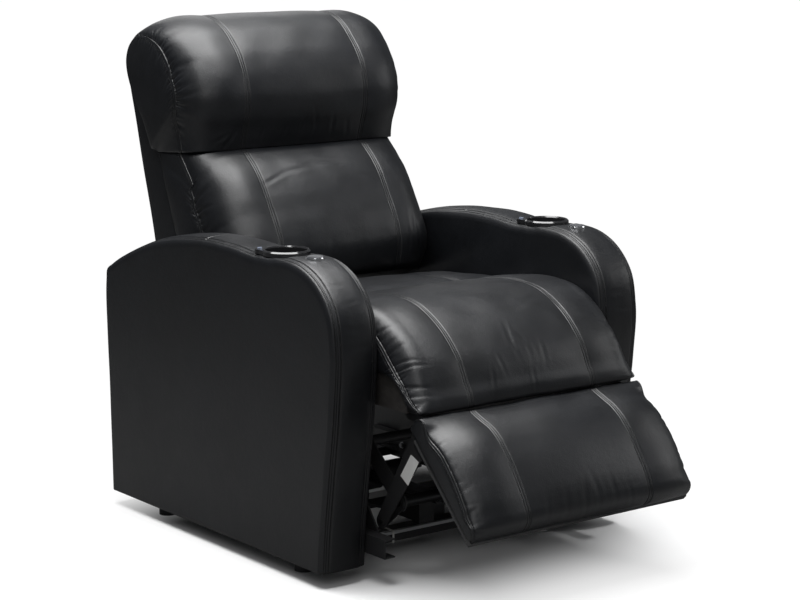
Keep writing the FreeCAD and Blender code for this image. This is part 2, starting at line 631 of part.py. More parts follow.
# The back cushion's front from its lower edge to the crease under the headrest.
BACK_PAD = (
    (236.0, 527.0, 0.8), (214.0, 545.0, 0.9), (203.0, 580.0, 1.0), (202.5, 605.0, 1.0),
    (209.0, 629.0, 1.0), (224.0, 660.0, 1.0), (243.0, 692.0, 1.0), (262.0, 726.0, 1.0),
    (283.0, 757.0, 1.0), (305.0, 781.0, 0.9), (329.0, 801.0, 0.8), (343.0, 811.0, 0.7),
    (359.0, 817.5, 0.7),
)
BACK_REAR = ((514.5, 805.8, 0, 0), (506.0, 790.5, 0, 0), (447.0, 641.0, 0, 0),
             (383.5, 481.0, 0, 0))
# The headrest roll's front from the crease up, over the top and down behind to its rear lower edge.
HEAD_ROLL = (
    (359.0, 818.4, 0.7), (352.0, 842.0, 0.9), (345.0, 866.0, 1.0), (337.0, 890.0, 1.0),
    (333.0, 915.0, 1.0), (332.0, 940.0, 1.0), (336.0, 964.0, 1.0), (343.0, 987.0, 1.0),
    (353.0, 1008.0, 1.0), (367.0, 1030.0, 1.0), (386.0, 1051.0, 0.9), (420.0, 1081.0, 0.8),
    (462.0, 1101.0, 0.7), (512.0, 1109.0, 0.6), (560.0, 1101.0, 0.45), (598.0, 1077.0, 0.25),
    (620.0, 1041.0, 0.1), (626.0, 1008.0, 0.05), (617.0, 976.0, 0.05), (603.0, 960.0, 0.05),
    (588.0, 949.5, 0.05),
)
HEAD_REAR = ((560.5, 893.0, 0, 0), (532.0, 838.0, 0, 0), (514.5, 806.6, 0, 0))
# The side boards' outline continues the two rear lines of the cushions and ends at the rear panel.
PANEL_FOOT, PANEL_HEAD = (500.4, 450.0), (638.9, 950.4)


def make_back_cushions():
    """Back cushion and headrest roll, each three channels wide with strongly drawn-in ends."""
    rim = [(0.0, 0.0), (150.0, 1.0), (162.0, 6.0), (174.0, 1.0), (232.0, 11.0), (262.0, 32.0),
           (281.0, 64.0), (288.0, 104.0)]
    solid("back_cushion", padded_form(BACK_PAD, BACK_REAR, both_ways(rim)))
    rim = [(0.0, 0.0), (150.0, 1.0), (162.0, 6.0), (174.0, 1.0), (240.0, 10.0), (276.0, 30.0),
           (296.0, 58.0), (302.0, 84.0)]
    solid("headrest", padded_form(HEAD_ROLL, HEAD_REAR, both_ways(rim)))


def make_back_box():
    """Side boards, top and bottom boards and the rear panel of the back."""
    skin = size("back_skin")
    foot = (PANEL_FOOT[0] - skin, PANEL_FOOT[1])
    head = (PANEL_HEAD[0] - skin, PANEL_HEAD[1])
    outline = [foot, head, (589.0, 949.0), (561.5, 892.5), (533.0, 837.5), (515.5, 806.2),
               (507.0, 790.5), (448.0, 641.0), (384.5, 481.0)]
    outer = size("back_half")
    inner = outer - size("back_board")
    for name, sign in SIDES:
        solid(f"back_board_{name}", for_side(plate_between(outline, inner, outer), sign))
    solid("back_board_top", plate_between([(589.0, 949.0), head, (625.6, 932.0), (581.0, 932.0)], -inner, inner))
    inside = inner - plate
    share = (468.0 - foot[1]) / (head[1] - foot[1])
    rear = foot[0] + share * (head[0] - foot[0]) - 1.0
    bottom = [(384.5, 481.0), (foot[0] - 1.0, foot[1]), (rear, 468.0), (391.6, 499.0)]
    solid("back_board_bottom", plate_between(bottom, -inside, inside))
    panel = [PANEL_FOOT, PANEL_HEAD, head, foot]
    solid("back_panel", plate_between(panel, -outer, outer))


def cam_slot(axis, drop, high_turn, mirror, rest_turn):
    """Cam plate with its curved slot, drawn in the rest pose.

    The cross pin runs on a level line at the drop below the axis. The slot lets it move by the
    drop for each radian that the plate turns, so that its way is in proportion to the angle.
    The turn is counted from where the pin stands square below the axis. mirror is 1 where the
    pin lies behind the axis, and -1 where it lies in front of it.
    """
    low, high = -size("cam_plate") / 2, size("cam_plate") / 2
    steps = max(3, round(4 * high_turn))
    turns = [high_turn * step / steps for step in range(steps + 1)]

    def pin(turn):
        reach = drop * math.hypot(1.0, turn)
        swing = math.atan(turn) - (turn - rest_turn)
        angle = -math.pi / 2 + mirror * swing
        return (axis[0] + reach * math.cos(angle), axis[1] + reach * math.sin(angle))

    track = [pin(turn) for turn in turns]

    def swept(radius):
        form = bar_across(track[0], radius, low, high)
        for start, end in zip(track, track[1:]):
            form = form.fuse(tapered_plate(start, radius, end, radius, low, high))
        return form.removeSplitter()

    pin_room = size("cam_pin_radius") + size("cam_gap")
    rim = pin_room + size("cam_rim")
    neck = tapered_plate(axis, size("tube_radius") + 9.0, track[0], rim, low, high)
    form = swept(rim).fuse(neck).removeSplitter()
    return form.cut(swept(pin_room))


def make_torque_shaft():
    """Welded torque shaft of the footrest: tube, two cranks with their pins, and the cam plate."""
    tube = tube_across(torque_axis, size("tube_radius"), size("tube_wall"), crank_outer)
    pieces = []
    for _, sign in SIDES:
        crank = tapered_plate(link_foot, 13.0, torque_axis, 19.0, crank_inner, crank_outer)
        pin = bar_across(link_foot, size("link_pin_radius"), crank_outer, link_outer + 3.0)
        pieces.append(for_side(crank.fuse(pin), sign))
    opening = math.radians(size("footrest_open"))
    travel = opening + math.radians(size("footrest_close"))
    cam = cam_slot(torque_axis, size("cam_drop_footrest"), travel, 1, opening)
    pieces.append(cam.translated(Vector(size("footrest_drive_x"), 0, 0)))
    shaft = tube.multiFuse(pieces)
    hollow = bar_across(torque_axis, size("tube_radius") - size("tube_wall"), -plate_outer, plate_outer)
    solid("torque_shaft", shaft.cut(hollow).removeSplitter())


def make_footrest_link(name, sign):
    """Wide link from the crank's pin up to the footrest bracket's pin."""
    form = tapered_plate(link_foot, size("link_foot_radius"), link_head, size("link_head_radius"),
                         link_inner, link_outer)
    for centre, gap in ((link_foot, size("pin_gap")), (link_head, size("open_pivot_gap"))):
        form = form.cut(bar_across(centre, size("link_pin_radius") + gap, link_inner - 1, link_outer + 1))
    solid(f"footrest_link_{name}", for_side(form, sign))


def on_footrest(along, outward):
    """Side-plane place of a point given along the footrest and outward from its hinge."""
    tilt = math.radians(size("footrest_tilt"))
    return (hinge[0] - along * math.cos(tilt) - outward * math.sin(tilt),
            hinge[1] - along * math.sin(tilt) + outward * math.cos(tilt))


def footrest_outline(points):
    """Turn a list of footrest places into side-plane places."""
    return [on_footrest(*point) for point in points]


def hinge_notches():
    """Room in the footrest's padding for the hinge's plates."""
    room = footrest_outline([(-30, 30), (-30, -60), (size("footrest_top"), -60), (size("footrest_top"), 30)])
    low, high = bracket_inner - 3.0, ear_outer + 1.0
    return [plate_between(room, low, high), plate_between(room, -high, -low)]


def make_footrest():
    """Footrest: its board and the crowned cushion that rolls over the hinge."""
    roll = size("roll_radius") + 0.3
    top, depth = size("footrest_top"), size("footrest_depth")
    end = top + size("footrest_length")
    board = footrest_outline([(top, -depth), (top, -depth - size("footrest_board")),
                              (end, -depth - size("footrest_board")), (end, -depth)])
    solid("footrest_board", plate_between(board, -soft_half + 3, soft_half - 3))
    slant = roll * math.sqrt(0.5)
    face = [(end, -depth, 0.1), (end + 3, -14, 0.2), (end + 1, 0, 0.4), (end - 4, 11, 0.6),
            (end - 14, 19, 0.8), (end - 30, 26, 1.0), (end - 48, 32, 1.0), (end - 72, 37, 1.0),
            (end - 96, 41, 1.0), (end - 123, 44.5, 1.0), (end - 150, 46.0, 1.0), (77, 45, 1.0),
            (51, 39, 1.0), (26, 27, 0.8), (0, roll, 0.0), (-slant, slant, 0.0), (-roll, 0, 0.0)]
    soft = [(*on_footrest(along, outward), share) for along, outward, share in face]
    closing = [(*place, 0, 0) for place in footrest_outline([(-12, -depth)])]
    half = soft_half
    rim = [(0.0, 0.0), (150.0, 1.0), (162.0, 5.0), (174.0, 1.0), (240.0, 6.0), (272.0, 14.0),
           (half - 4, 22.0), (half, 30.0)]
    cushion = padded_form(soft, closing, both_ways(rim))
    for notch in hinge_notches():
        cushion = cushion.cut(notch)
    solid("footrest_cushion", cushion)


def make_footrest_bracket(name, sign):
    """Bracket behind the footrest board: hinge eye, pin for the wide link and screw flange."""
    rear = -size("footrest_depth") - size("footrest_board")
    pin_radius, margin = size("link_pin_radius"), size("ear_margin")
    reach = math.hypot(size("crank_back"), size("crank_down"))
    eye = size("hinge_pin_radius") + margin
    low_end = pin_radius + margin + 1.0
    web = footrest_outline([(-eye, 0), (-low_end, -reach), (0, -reach - low_end),
                            (30, -reach - low_end + 2), (110, rear - 14), (110, rear),
                            (size("footrest_top") - 1.0, rear), (size("footrest_top") - 1.0, 0)])
    form = plate_between(web, bracket_inner, bracket_outer)
    form = form.fuse(bar_across(hinge, eye, bracket_inner, bracket_outer))
    flange = footrest_outline([(18, rear), (18, rear - plate), (110, rear - plate), (110, rear)])
    form = form.fuse(plate_between(flange, bracket_inner - 22, bracket_outer)).removeSplitter()
    form = form.fuse(bar_across(link_head, pin_radius, link_inner - 3, bracket_inner)).removeSplitter()
    bore = size("hinge_pin_radius") + size("pin_gap")
    form = form.cut(bar_across(hinge, bore, bracket_inner - 1, bracket_outer + 1))
    solid(f"footrest_bracket_{name}", for_side(form, sign))


def make_hinge_ear(name, sign):
    """Fixed ear of the footrest hinge with its pin, screwed behind the seat's front board."""
    y, z = hinge
    eye = size("hinge_pin_radius") + size("ear_margin")
    face = box_front + size("board")
    low = box_top - size("front_board_height")
    tongue = [(y, z - eye), (face + 6, z - 3), (face + 30, box_level), (face + 30, box_top - 10),
              (face, box_top - 10), (face, low - 2), (face - 14, z + eye + 6), (y, z + eye)]
    form = plate_between(tongue, ear_inner, ear_outer).fuse(bar_across(hinge, eye, ear_inner, ear_outer))
    flange = block((ear_inner - 26, face, low - 2), (ear_inner, face + plate, box_top - 10))
    pin = bar_across(hinge, size("hinge_pin_radius"), bracket_inner - 1.5, ear_inner)
    form = form.multiFuse([flange, pin]).removeSplitter()
    solid(f"hinge_ear_{name}", for_side(form, sign))


def make_back_shaft():
    """Welded pivot shaft of the back: tube, two ears under the side boards, and the cam plate."""
    tube = tube_across(back_pivot, size("tube_radius"), size("tube_wall"), plate_outer + 3)
    y, z = back_pivot
    inner, outer = back_ear_inner, back_ear_outer
    web = [(y, z - 22), (y + 100, z - 30), (y + 155, z + 30), (y + 182, z + 142), (y + 144, z + 142),
           (y + 93, z + 24), (y + 82, z + 5), (y, z + 22)]
    pieces = []
    for _, sign in SIDES:
        ear = plate_between(web, inner, outer).fuse(bar_across(back_pivot, 22.0, inner, outer))
        pieces.append(for_side(ear, sign))
    travel = math.radians(size("recline_angle"))
    cam = cam_slot(back_pivot, size("cam_drop_recline"), travel, -1, 0.0)
    pieces.append(cam.translated(Vector(size("recline_drive_x"), 0, 0)))
    shaft = tube.multiFuse(pieces)
    hollow = bar_across(back_pivot, size("tube_radius") - size("tube_wall"), -clear_half, clear_half)
    solid("back_shaft", shaft.cut(hollow).removeSplitter())


def make_actuator(label, x, axis_z, pin_y, direction, travel):
    """Linear actuator along the seat: a motor housing with its outer tube, and the sliding rod.

    direction is 1 where the housing lies behind the cross pin, and -1 where it lies in front.
    travel is how far the cross pin moves from its rest place toward the housing.
    """
    radius, rod, length = size("sleeve_radius"), size("rod_radius"), size(f"{label}_sleeve")
    lead = travel + size("fork_reach") + size("rod_reserve")
    mouth = pin_y + direction * lead
    heading = Vector(0, direction, 0)
    base = Vector(x, mouth, axis_z)
    tube = Part.makeCylinder(radius, length, base, heading)
    end = mouth + direction * length
    near, far = sorted((end - direction * 6, end + direction * 54))
    half_box = size("gearbox_half")
    gearbox = block((x - half_box, near, axis_z - 30), (x + half_box, far, axis_z + half_box))
    gearbox = gearbox.makeFillet(7, [edge for edge in gearbox.Edges
                                     if abs(edge.tangentAt(edge.FirstParameter).y) > 0.9])
    can = Part.makeCylinder(23, 92, Vector(x + 20, (near + far) / 2, axis_z - 4), Vector(1, 0, 0))
    cap = Part.makeCylinder(19, 6, Vector(x + 112, (near + far) / 2, axis_z - 4), Vector(1, 0, 0))
    housing = tube.multiFuse([gearbox, can, cap]).removeSplitter()
    bore = Part.makeCylinder(rod + size("running_gap"), length - 10, base, heading)
    solid(f"{label}_actuator", housing.cut(bore))
    half = size("cam_plate") / 2 + size("running_gap")
    fork_end = size("cam_pin_radius") + size("fork_margin")
    bridge_start = size("fork_reach") - 8.0
    grip = size(f"{label}_grip")
    shank = Part.makeCylinder(rod, lead + grip - bridge_start - 4.0,
                              Vector(x, pin_y + direction * (bridge_start + 4.0), axis_z), heading)
    cheeks = []
    for low, high in ((x - half - 5, x - half), (x + half, x + half + 5)):
        front, back = sorted((pin_y, pin_y + direction * bridge_start))
        cheek = block((low, front, axis_z - fork_end), (high, back, axis_z + fork_end))
        cheeks.append(cheek.fuse(bar_across((pin_y, axis_z), fork_end, low, high)))
    near, far = sorted((pin_y + direction * bridge_start, pin_y + direction * size("fork_reach")))
    bridge = block((x - half - 5, near, axis_z - fork_end), (x + half + 5, far, axis_z + fork_end))
    pin = bar_across((pin_y, axis_z), size("cam_pin_radius"), x - half - 7, x + half + 7)
    solid(f"{label}_rod", shank.multiFuse(cheeks + [bridge, pin]).removeSplitter())


def make_saddles():
    """Two posts that hold the footrest actuator on the front and middle cross rails."""
    x, axis_z = size("footrest_drive_x"), footrest_drive_level
    posts = []
    for along, top, reach in ((size("cross_front_place"), axis_z, size("sleeve_radius")),
                              (size("cross_middle_place"), axis_z - 30, 0.0)):
        post = block((x - 20, along - 12, rail_bottom), (x + 20, along + 12, top))
        if reach:
            post = post.cut(Part.makeCylinder(reach, 40, Vector(x, along - 20, axis_z), Vector(0, 1, 0)))
        posts.append(post)
    solid("actuator_saddles", Part.makeCompound(posts))


def rounded_path(points, share=0.45):
    """Straight runs with a tangent arc at each inner point."""
    vectors = [Vector(*point) for point in points]
    edges, start = [], vectors[0]
    for before, corner, after in zip(vectors, vectors[1:], vectors[2:]):
        back, ahead = (before - corner).normalize(), (after - corner).normalize()
        room = share * min((before - corner).Length, (after - corner).Length)
        first, last = corner + back * room, corner + ahead * room
        half = back.getAngle(ahead) / 2
        radius = room * math.tan(half)
        centre = corner + (back + ahead).normalize() * (room / math.cos(half))
        middle = centre + (corner - centre).normalize() * radius
        print("cable arc radius", round(radius, 1))
        edges += [Part.LineSegment(start, first).toShape(), Part.Arc(first, middle, last).toShape()]
        start = last
    edges.append(Part.LineSegment(start, vectors[-1]).toShape())
    return Part.Wire(edges)


# Runs of the supply cable from the power supply's side, up to its last one into the gearbox.
CABLE_RUNS = ((-48.0, 0.0, 0.0), (-41.0, 26.5, 12.5), (-17.0, 48.0, 13.0), (25.0, 42.0, 12.5))


def make_power():
    """Power supply behind the front cross rail, and its cable to the footrest motor."""
    front = size("cross_front_place") + size("cross_rail_width") / 2
    middle, wide = size("supply_middle"), size("supply_width")
    low = rail_bottom - 16.0
    case = block((middle - wide / 2, front, low),
                 (middle + wide / 2, front + size("supply_length"), low + size("supply_height")))
    case = case.makeFillet(5, [edge for edge in case.Edges
                               if abs(edge.tangentAt(edge.FirstParameter).y) > 0.9])
    solid("power_supply", case)
    place = Vector(middle - wide / 2, front + 67.5, low + 30)
    route = [place]
    for run in CABLE_RUNS:
        place = place + Vector(*run)
        route.append(place)
    last_run = size("footrest_drive_x") - size("gearbox_half") - place.x
    route.append(place + Vector(last_run, 0, 0))
    path = rounded_path(route)
    start_edge = path.Edges[0]
    ring = Part.Wire(Part.makeCircle(size("cable_radius"), start_edge.valueAt(start_edge.FirstParameter),
                                     start_edge.tangentAt(start_edge.FirstParameter)))
    cable = path.makePipeShell([ring], True, False)
    length = math.pi * size("cable_radius") ** 2 * path.Length
    print("cable volume over section times length", round(cable.Volume / length, 4))
    solid("supply_cable", cable)


for side_name, side_sign in SIDES:
    make_arm(side_name, side_sign)
    make_cup_holder(side_name, side_sign)
    make_switch(side_name, side_sign)
    make_side_rail(side_name, side_sign)
    make_front_plate(side_name, side_sign)
    make_torque_bearing(side_name, side_sign)
    make_rear_plate(side_name, side_sign)
    make_hinge_ear(side_name, side_sign)
    make_footrest_link(side_name, side_sign)
    make_footrest_bracket(side_name, side_sign)
make_glides()
make_cross_rails()
make_brace()
make_seat_box()
make_webbing()
make_seat_cushions()
make_back_cushions()
make_back_box()
make_torque_shaft()
make_back_shaft()
make_footrest()
opened, closed = math.radians(size("footrest_open")), math.radians(size("footrest_close"))
make_actuator("footrest", size("footrest_drive_x"), footrest_drive_level,
              torque_axis[0] + size("cam_drop_footrest") * opened, 1, size("cam_drop_footrest") * closed)
make_actuator("recline", size("recline_drive_x"), recline_drive_level, back_pivot[0], -1,
              size("cam_drop_recline") * math.radians(size("recline_angle")))
make_saddles()
make_power()

document.recompute()
for item in document.Objects:
    if "Invalid" in item.State or "Error" in item.State:
        raise RuntimeError(f"{item.Label} did not build: {item.State}")
for item in sub_parts:
    if item.Shape.isNull() or not item.Shape.isValid():
        raise RuntimeError(f"{item.Label} has no valid shape")
os.makedirs("parts", exist_ok=True)
for item in sub_parts:
    item.Shape.exportStep(f"parts/{item.Label}.step")
print(len(sub_parts), "sub-parts written")
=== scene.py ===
"""Looks of a cinema recliner seat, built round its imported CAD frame.

Metres, +Z up, the front of the seat toward -Y, +X the viewer's right from the front.
Side-plane sizes are written in millimetres, as the CAD source has them, and scaled once.
"""
import json
import logging
import math
from dataclasses import dataclass, field
from enum import Enum
from typing import ClassVar

import bmesh
import bpy
import numpy as np
from mathutils import Euler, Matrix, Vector

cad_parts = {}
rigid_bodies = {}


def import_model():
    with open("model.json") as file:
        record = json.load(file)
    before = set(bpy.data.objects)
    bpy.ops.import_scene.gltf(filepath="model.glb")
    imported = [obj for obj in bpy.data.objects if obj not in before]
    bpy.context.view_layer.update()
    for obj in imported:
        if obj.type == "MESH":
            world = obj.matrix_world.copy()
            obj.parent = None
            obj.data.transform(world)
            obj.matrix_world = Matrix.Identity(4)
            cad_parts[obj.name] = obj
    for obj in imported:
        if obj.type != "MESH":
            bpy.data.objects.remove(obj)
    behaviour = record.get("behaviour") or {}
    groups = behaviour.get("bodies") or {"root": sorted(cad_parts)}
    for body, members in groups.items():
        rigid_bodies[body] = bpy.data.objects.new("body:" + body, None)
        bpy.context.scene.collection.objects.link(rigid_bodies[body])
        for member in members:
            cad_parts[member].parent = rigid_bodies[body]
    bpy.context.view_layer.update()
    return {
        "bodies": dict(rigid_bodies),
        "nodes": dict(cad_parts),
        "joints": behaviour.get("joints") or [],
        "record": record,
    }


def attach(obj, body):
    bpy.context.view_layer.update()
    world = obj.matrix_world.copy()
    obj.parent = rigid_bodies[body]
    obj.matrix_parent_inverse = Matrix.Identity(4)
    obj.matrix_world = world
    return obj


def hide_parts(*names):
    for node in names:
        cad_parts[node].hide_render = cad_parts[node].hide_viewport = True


MM = 0.001
LOG = logging.getLogger("cinema_seat")

Point2 = tuple[float, float]
Point3 = tuple[float, float, float]


class Side(Enum):
    """The two sides of the seat, seen from the front."""

    LEFT = -1
    RIGHT = 1

    @property
    def label(self) -> str:
        """Word that the CAD nodes use for this side."""
        return self.name.lower()


# Shading


class Value:
    """A shader socket that takes part in Python arithmetic."""

    def __init__(self, graph: "Graph", socket: bpy.types.NodeSocket) -> None:
        self.graph = graph
        self.socket = socket

    def _math(self, operation: str, *values: object) -> "Value":
        return self.graph.make("ShaderNodeMath", {"operation": operation}, dict(enumerate(values)))

    def __add__(self, other: object) -> "Value":
        return self._math("ADD", self, other)

    __radd__ = __add__

    def __mul__(self, other: object) -> "Value":
        return self._math("MULTIPLY", self, other)

    __rmul__ = __mul__

    def __sub__(self, other: object) -> "Value":
        return self._math("SUBTRACT", self, other)

    def __rsub__(self, other: object) -> "Value":
        return self._math("SUBTRACT", other, self)

    def between(self, low: float, high: float) -> "Value":
        """Ramp smoothly from 0 at low to 1 at high.

        Args:
            low: Input that gives 0.
            high: Input that gives 1.

        Returns:
            The ramped value.
        """
        settings = {"interpolation_type": "SMOOTHSTEP"}
        return self.graph.make("ShaderNodeMapRange", settings, {0: self, 1: low, 2: high, 3: 0.0, 4: 1.0})


class Graph:
    """Node tree of one material."""

    def __init__(self, name: str) -> None:
        self.material = bpy.data.materials.new(name)
        self.material.use_nodes = True
        self.tree = self.material.node_tree
        self.tree.nodes.clear()

    def make(self, kind: str, settings: dict, sockets: dict, output: int | str = 0) -> Value:
        """Add one node.

        Args:
            kind: Blender's name of the node type.
            settings: Properties of the node, set before its sockets.
            sockets: Values or links by socket name or index.
            output: Which output to hand back.

        Returns:
            The chosen output as a value.
        """
        node = self.tree.nodes.new(kind)
        for key, setting in settings.items():
            setattr(node, key, setting)
        for key, given in sockets.items():
            if isinstance(given, Value):
                self.tree.links.new(given.socket, node.inputs[key])
            else:
                node.inputs[key].default_value = given
        return Value(self, node.outputs[output])

    def place(self) -> Value:
        """Object coordinates, in metres."""
        return self.make("ShaderNodeTexCoord", {}, {}, "Object")

    def attribute(self, name: str) -> Value:
        """Factor of a mesh attribute."""
        return self.make("ShaderNodeAttribute", {"attribute_name": name}, {}, "Fac")

    def stretched(self, scale: Point3) -> Value:
        """Object coordinates scaled by a factor for each axis."""
        return self.make("ShaderNodeMapping", {}, {0: self.place(), 3: scale})

    def noise(self, scale: float, detail: float = 3.0, rough: float = 0.5,
              place: Value | None = None) -> Value:
        """Smooth noise between 0 and 1."""
        sockets = {"Vector": place or self.place(), "Scale": scale, "Detail": detail, "Roughness": rough}
        return self.make("ShaderNodeTexNoise", {}, sockets)

    def cells(self, scale: float, place: Value | None = None) -> Value:
        """Distance to the nearest of scattered points, as pebbles of leather have."""
        return self.make("ShaderNodeTexVoronoi", {"feature": "F1"},
                         {"Vector": place or self.place(), "Scale": scale}, "Distance")

    def blend(self, share: Value | float, first: object, second: object) -> Value:
        """Mix two colours."""
        def shade(given: object) -> object:
            return given if isinstance(given, Value) else (*given, 1.0)
        return self.make("ShaderNodeMix", {"data_type": "RGBA"},
                         {0: share, 6: shade(first), 7: shade(second)}, 2)

    def bump(self, height: Value, strength: float, distance: float, below: Value | None = None) -> Value:
        """Turn a height into a normal, on top of another normal where one is given."""
        sockets = {"Height": height, "Strength": strength, "Distance": distance}
        if below is not None:
            sockets["Normal"] = below
        return self.make("ShaderNodeBump", {}, sockets)

    def surface(self, **sockets: object) -> bpy.types.Material:
        """Finish the material with a principled surface.

        Args:
            **sockets: Inputs of the surface, with underscores for spaces.

        Returns:
            The finished material.
        """
        named = {key.replace("_", " "): given for key, given in sockets.items()}
        shader = self.make("ShaderNodeBsdfPrincipled", {}, named)
        self.output(shader)
        return self.material

    def output(self, shader: Value) -> None:
        """Send a shader to the material's surface."""
        node = self.tree.nodes.new("ShaderNodeOutputMaterial")
        self.tree.links.new(shader.socket, node.inputs["Surface"])


def opaque(shade: Point3) -> tuple[float, float, float, float]:
    """Add the alpha that a colour socket wants."""
    return (*shade, 1.0)


@dataclass(frozen=True)
class Leather:
    """Dyed upholstery leather with pebble grain, fine creases and a soft sheen, darkened near its seams as
    painted shade.
    """

    name: str
    dark: Point3
    light: Point3
    gloss: float
    PEBBLES: ClassVar[float] = 620.0
    PORES: ClassVar[float] = 2100.0
    CREASES: ClassVar[float] = 75.0
    PATCHES: ClassVar[float] = 19.0
    BROAD: ClassVar[float] = 4.2
    SEAM_PAINTED_SHADE: ClassVar[float] = 0.15

    def build(self) -> bpy.types.Material:
        """Make the material.

        Returns:
            The leather.
        """
        g = Graph(self.name)
        pebbles = g.cells(self.PEBBLES)
        pores = g.noise(self.PORES, 2.0)
        broad = g.noise(self.BROAD, 3.0)
        patches = g.noise(self.PATCHES, 4.0, 0.6)
        creases = g.noise(self.CREASES, 5.0, 0.62)
        seam = g.attribute("seam")
        grain = pebbles.between(0.06, 0.62) + pores * 0.25
        folds = 1.0 - creases.between(0.44, 0.58)
        tone = broad.between(0.3, 0.75) * 0.5 + patches.between(0.3, 0.8) * 0.35
        colour = g.blend(tone, self.dark, self.light)
        # Painted shade: the leather darkens toward a small part of its dark colour in the seam grooves and
        # along the stitch rows.
        colour = g.blend(seam, colour, tuple(self.SEAM_PAINTED_SHADE * part for part in self.dark))
        rough = self.gloss + patches * 0.14 - broad * 0.05
        normal = g.bump(grain, 0.5, 0.00016)
        normal = g.bump(folds, 0.1, 0.0007, normal)
        return g.surface(Base_Color=colour, Roughness=rough, Normal=normal, IOR=1.5,
                         Specular_IOR_Level=0.5)


@dataclass(frozen=True)
class Metal:
    """Bare or plated metal with drawn lines, smudges and worn spots."""

    name: str
    shade: Point3
    rough: float
    lines: Point3 = (1.0, 1.0, 1.0)
    wear: float = 0.1

    def build(self) -> bpy.types.Material:
        """Make the material.

        Returns:
            The metal.
        """
        g = Graph(self.name)
        smudge = g.noise(26.0, 5.0, 0.6)
        drawn = g.noise(300.0, 2.0, 0.5, g.stretched(self.lines))
        worn = tuple(0.72 * part for part in self.shade)
        colour = g.blend(smudge.between(0.35, 0.8) * 0.5, self.shade, worn)
        rough = self.rough + smudge * self.wear + drawn * 0.05
        return g.surface(Base_Color=colour, Metallic=1.0, Roughness=rough,
                         Normal=g.bump(drawn, 0.08, 0.0003))


@dataclass(frozen=True)
class Coated:
    """Powder coat, moulded plastic, rubber or paper: a dyed skin with fine texture."""

    name: str
    shade: Point3
    rough: float
    texture: float = 900.0
    depth: float = 0.12
    coat: float = 0.0

    def build(self) -> bpy.types.Material:
        """Make the material.

        Returns:
            The coated surface.
        """
        g = Graph(self.name)
        fine = g.noise(self.texture, 2.0)
        dust = g.noise(15.0, 5.0, 0.65)
        light = tuple(min(1.0, 1.5 * part + 0.002) for part in self.shade)
        colour = g.blend(dust.between(0.4, 0.85) * 0.5, self.shade, light)
        rough = self.rough + dust * 0.14
        return g.surface(Base_Color=colour, Roughness=rough, Coat_Weight=self.coat, Coat_Roughness=0.08,
                         Normal=g.bump(fine, self.depth, 0.0003))


@dataclass(frozen=True)
class Woven:
    """Cloth or strap of crossed yarns."""

    name: str
    shade: Point3
    pitch: float

    def build(self) -> bpy.types.Material:
        """Make the material.

        Returns:
            The cloth.
        """
        g = Graph(self.name)
        bands = [g.make("ShaderNodeTexWave", {"bands_direction": axis},
                        {"Scale": self.pitch, "Distortion": 0.4, "Vector": g.place()}, "Fac")
                 for axis in ("X", "Y")]
        weave = bands[0] * bands[1] + g.noise(700.0, 2.0) * 0.35
        worn = g.noise(12.0, 4.0)
        colour = g.blend(weave.between(0.1, 0.9), tuple(0.55 * part for part in self.shade), self.shade)
        colour = g.blend(worn.between(0.45, 0.9) * 0.35, colour, tuple(min(1, 1.5 * p) for p in self.shade))
        return g.surface(Base_Color=colour, Roughness=0.82 + worn * 0.12, Sheen_Weight=0.15,
                         Normal=g.bump(weave, 0.35, 0.0006))


@dataclass(frozen=True)
class Timber:
    """Plywood or foam-backed board with long grain and edge plies."""

    name: str
    pale: Point3
    dark: Point3
    grain: Point3

    def build(self) -> bpy.types.Material:
        """Make the material.

        Returns:
            The timber.
        """
        g = Graph(self.name)
        rings = g.noise(9.0, 6.0, 0.6, g.stretched(self.grain))
        fibres = g.noise(160.0, 3.0, 0.6, g.stretched(self.grain))
        colour = g.blend(rings.between(0.35, 0.65) * 0.8 + fibres * 0.2, self.pale, self.dark)
        return g.surface(Base_Color=colour, Roughness=0.55 + fibres * 0.2,
                         Normal=g.bump(fibres, 0.2, 0.0005))


LEATHER = Leather("black_leather", (0.0022, 0.0026, 0.0035), (0.0050, 0.0059, 0.0080), 0.37)
THREAD = Coated("seam_thread", (0.0016, 0.0017, 0.0019), 0.34, 2500.0, 0.3)
CUP_SHELL = Coated("cup_gloss_black", (0.012, 0.012, 0.013), 0.1, 500.0, 0.015, 0.6)
CHROME = Metal("polished_chrome", (0.82, 0.83, 0.85), 0.08, (1.0, 1.0, 1.0), 0.1)
BUTTON = Metal("satin_button", (0.62, 0.63, 0.66), 0.22, (1.0, 8.0, 1.0), 0.1)
LAMP = Coated("lamp_lens", (0.2, 0.23, 0.3), 0.18, 700.0, 0.02, 0.5)
POWDER = Coated("black_powder_coat", (0.017, 0.017, 0.018), 0.42, 1500.0, 0.22, 0.1)
ZINC = Metal("zinc_plated", (0.5, 0.51, 0.52), 0.3, (1.0, 14.0, 1.0), 0.2)
BLACKED = Metal("blackened_steel", (0.055, 0.056, 0.058), 0.34, (1.0, 14.0, 1.0), 0.2)
ROD = Metal("drawn_rod", (0.66, 0.67, 0.69), 0.18, (14.0, 1.0, 14.0), 0.12)
HOUSING = Coated("moulded_housing", (0.022, 0.022, 0.024), 0.45, 800.0, 0.2)
PLYWOOD = Timber("birch_plywood", (0.5, 0.37, 0.22), (0.33, 0.22, 0.12), (0.6, 6.0, 14.0))
STAINED = Timber("stained_board", (0.03, 0.027, 0.025), (0.016, 0.014, 0.013), (0.6, 6.0, 14.0))
STRAP = Woven("webbing_strap", (0.09, 0.085, 0.085), 260.0)
CAMBRIC = Woven("black_cambric", (0.02, 0.02, 0.021), 420.0)
FOAM = Coated("moulded_foam", (0.5, 0.46, 0.36), 0.9, 420.0, 0.5)
SHEATH = Coated("cable_sheath", (0.014, 0.014, 0.015), 0.38, 1400.0, 0.1)
GLIDE = Coated("glide_plastic", (0.03, 0.03, 0.032), 0.5, 700.0, 0.15)
PAPER = Coated("blank_sticker", (0.72, 0.72, 0.7), 0.5, 500.0, 0.05)
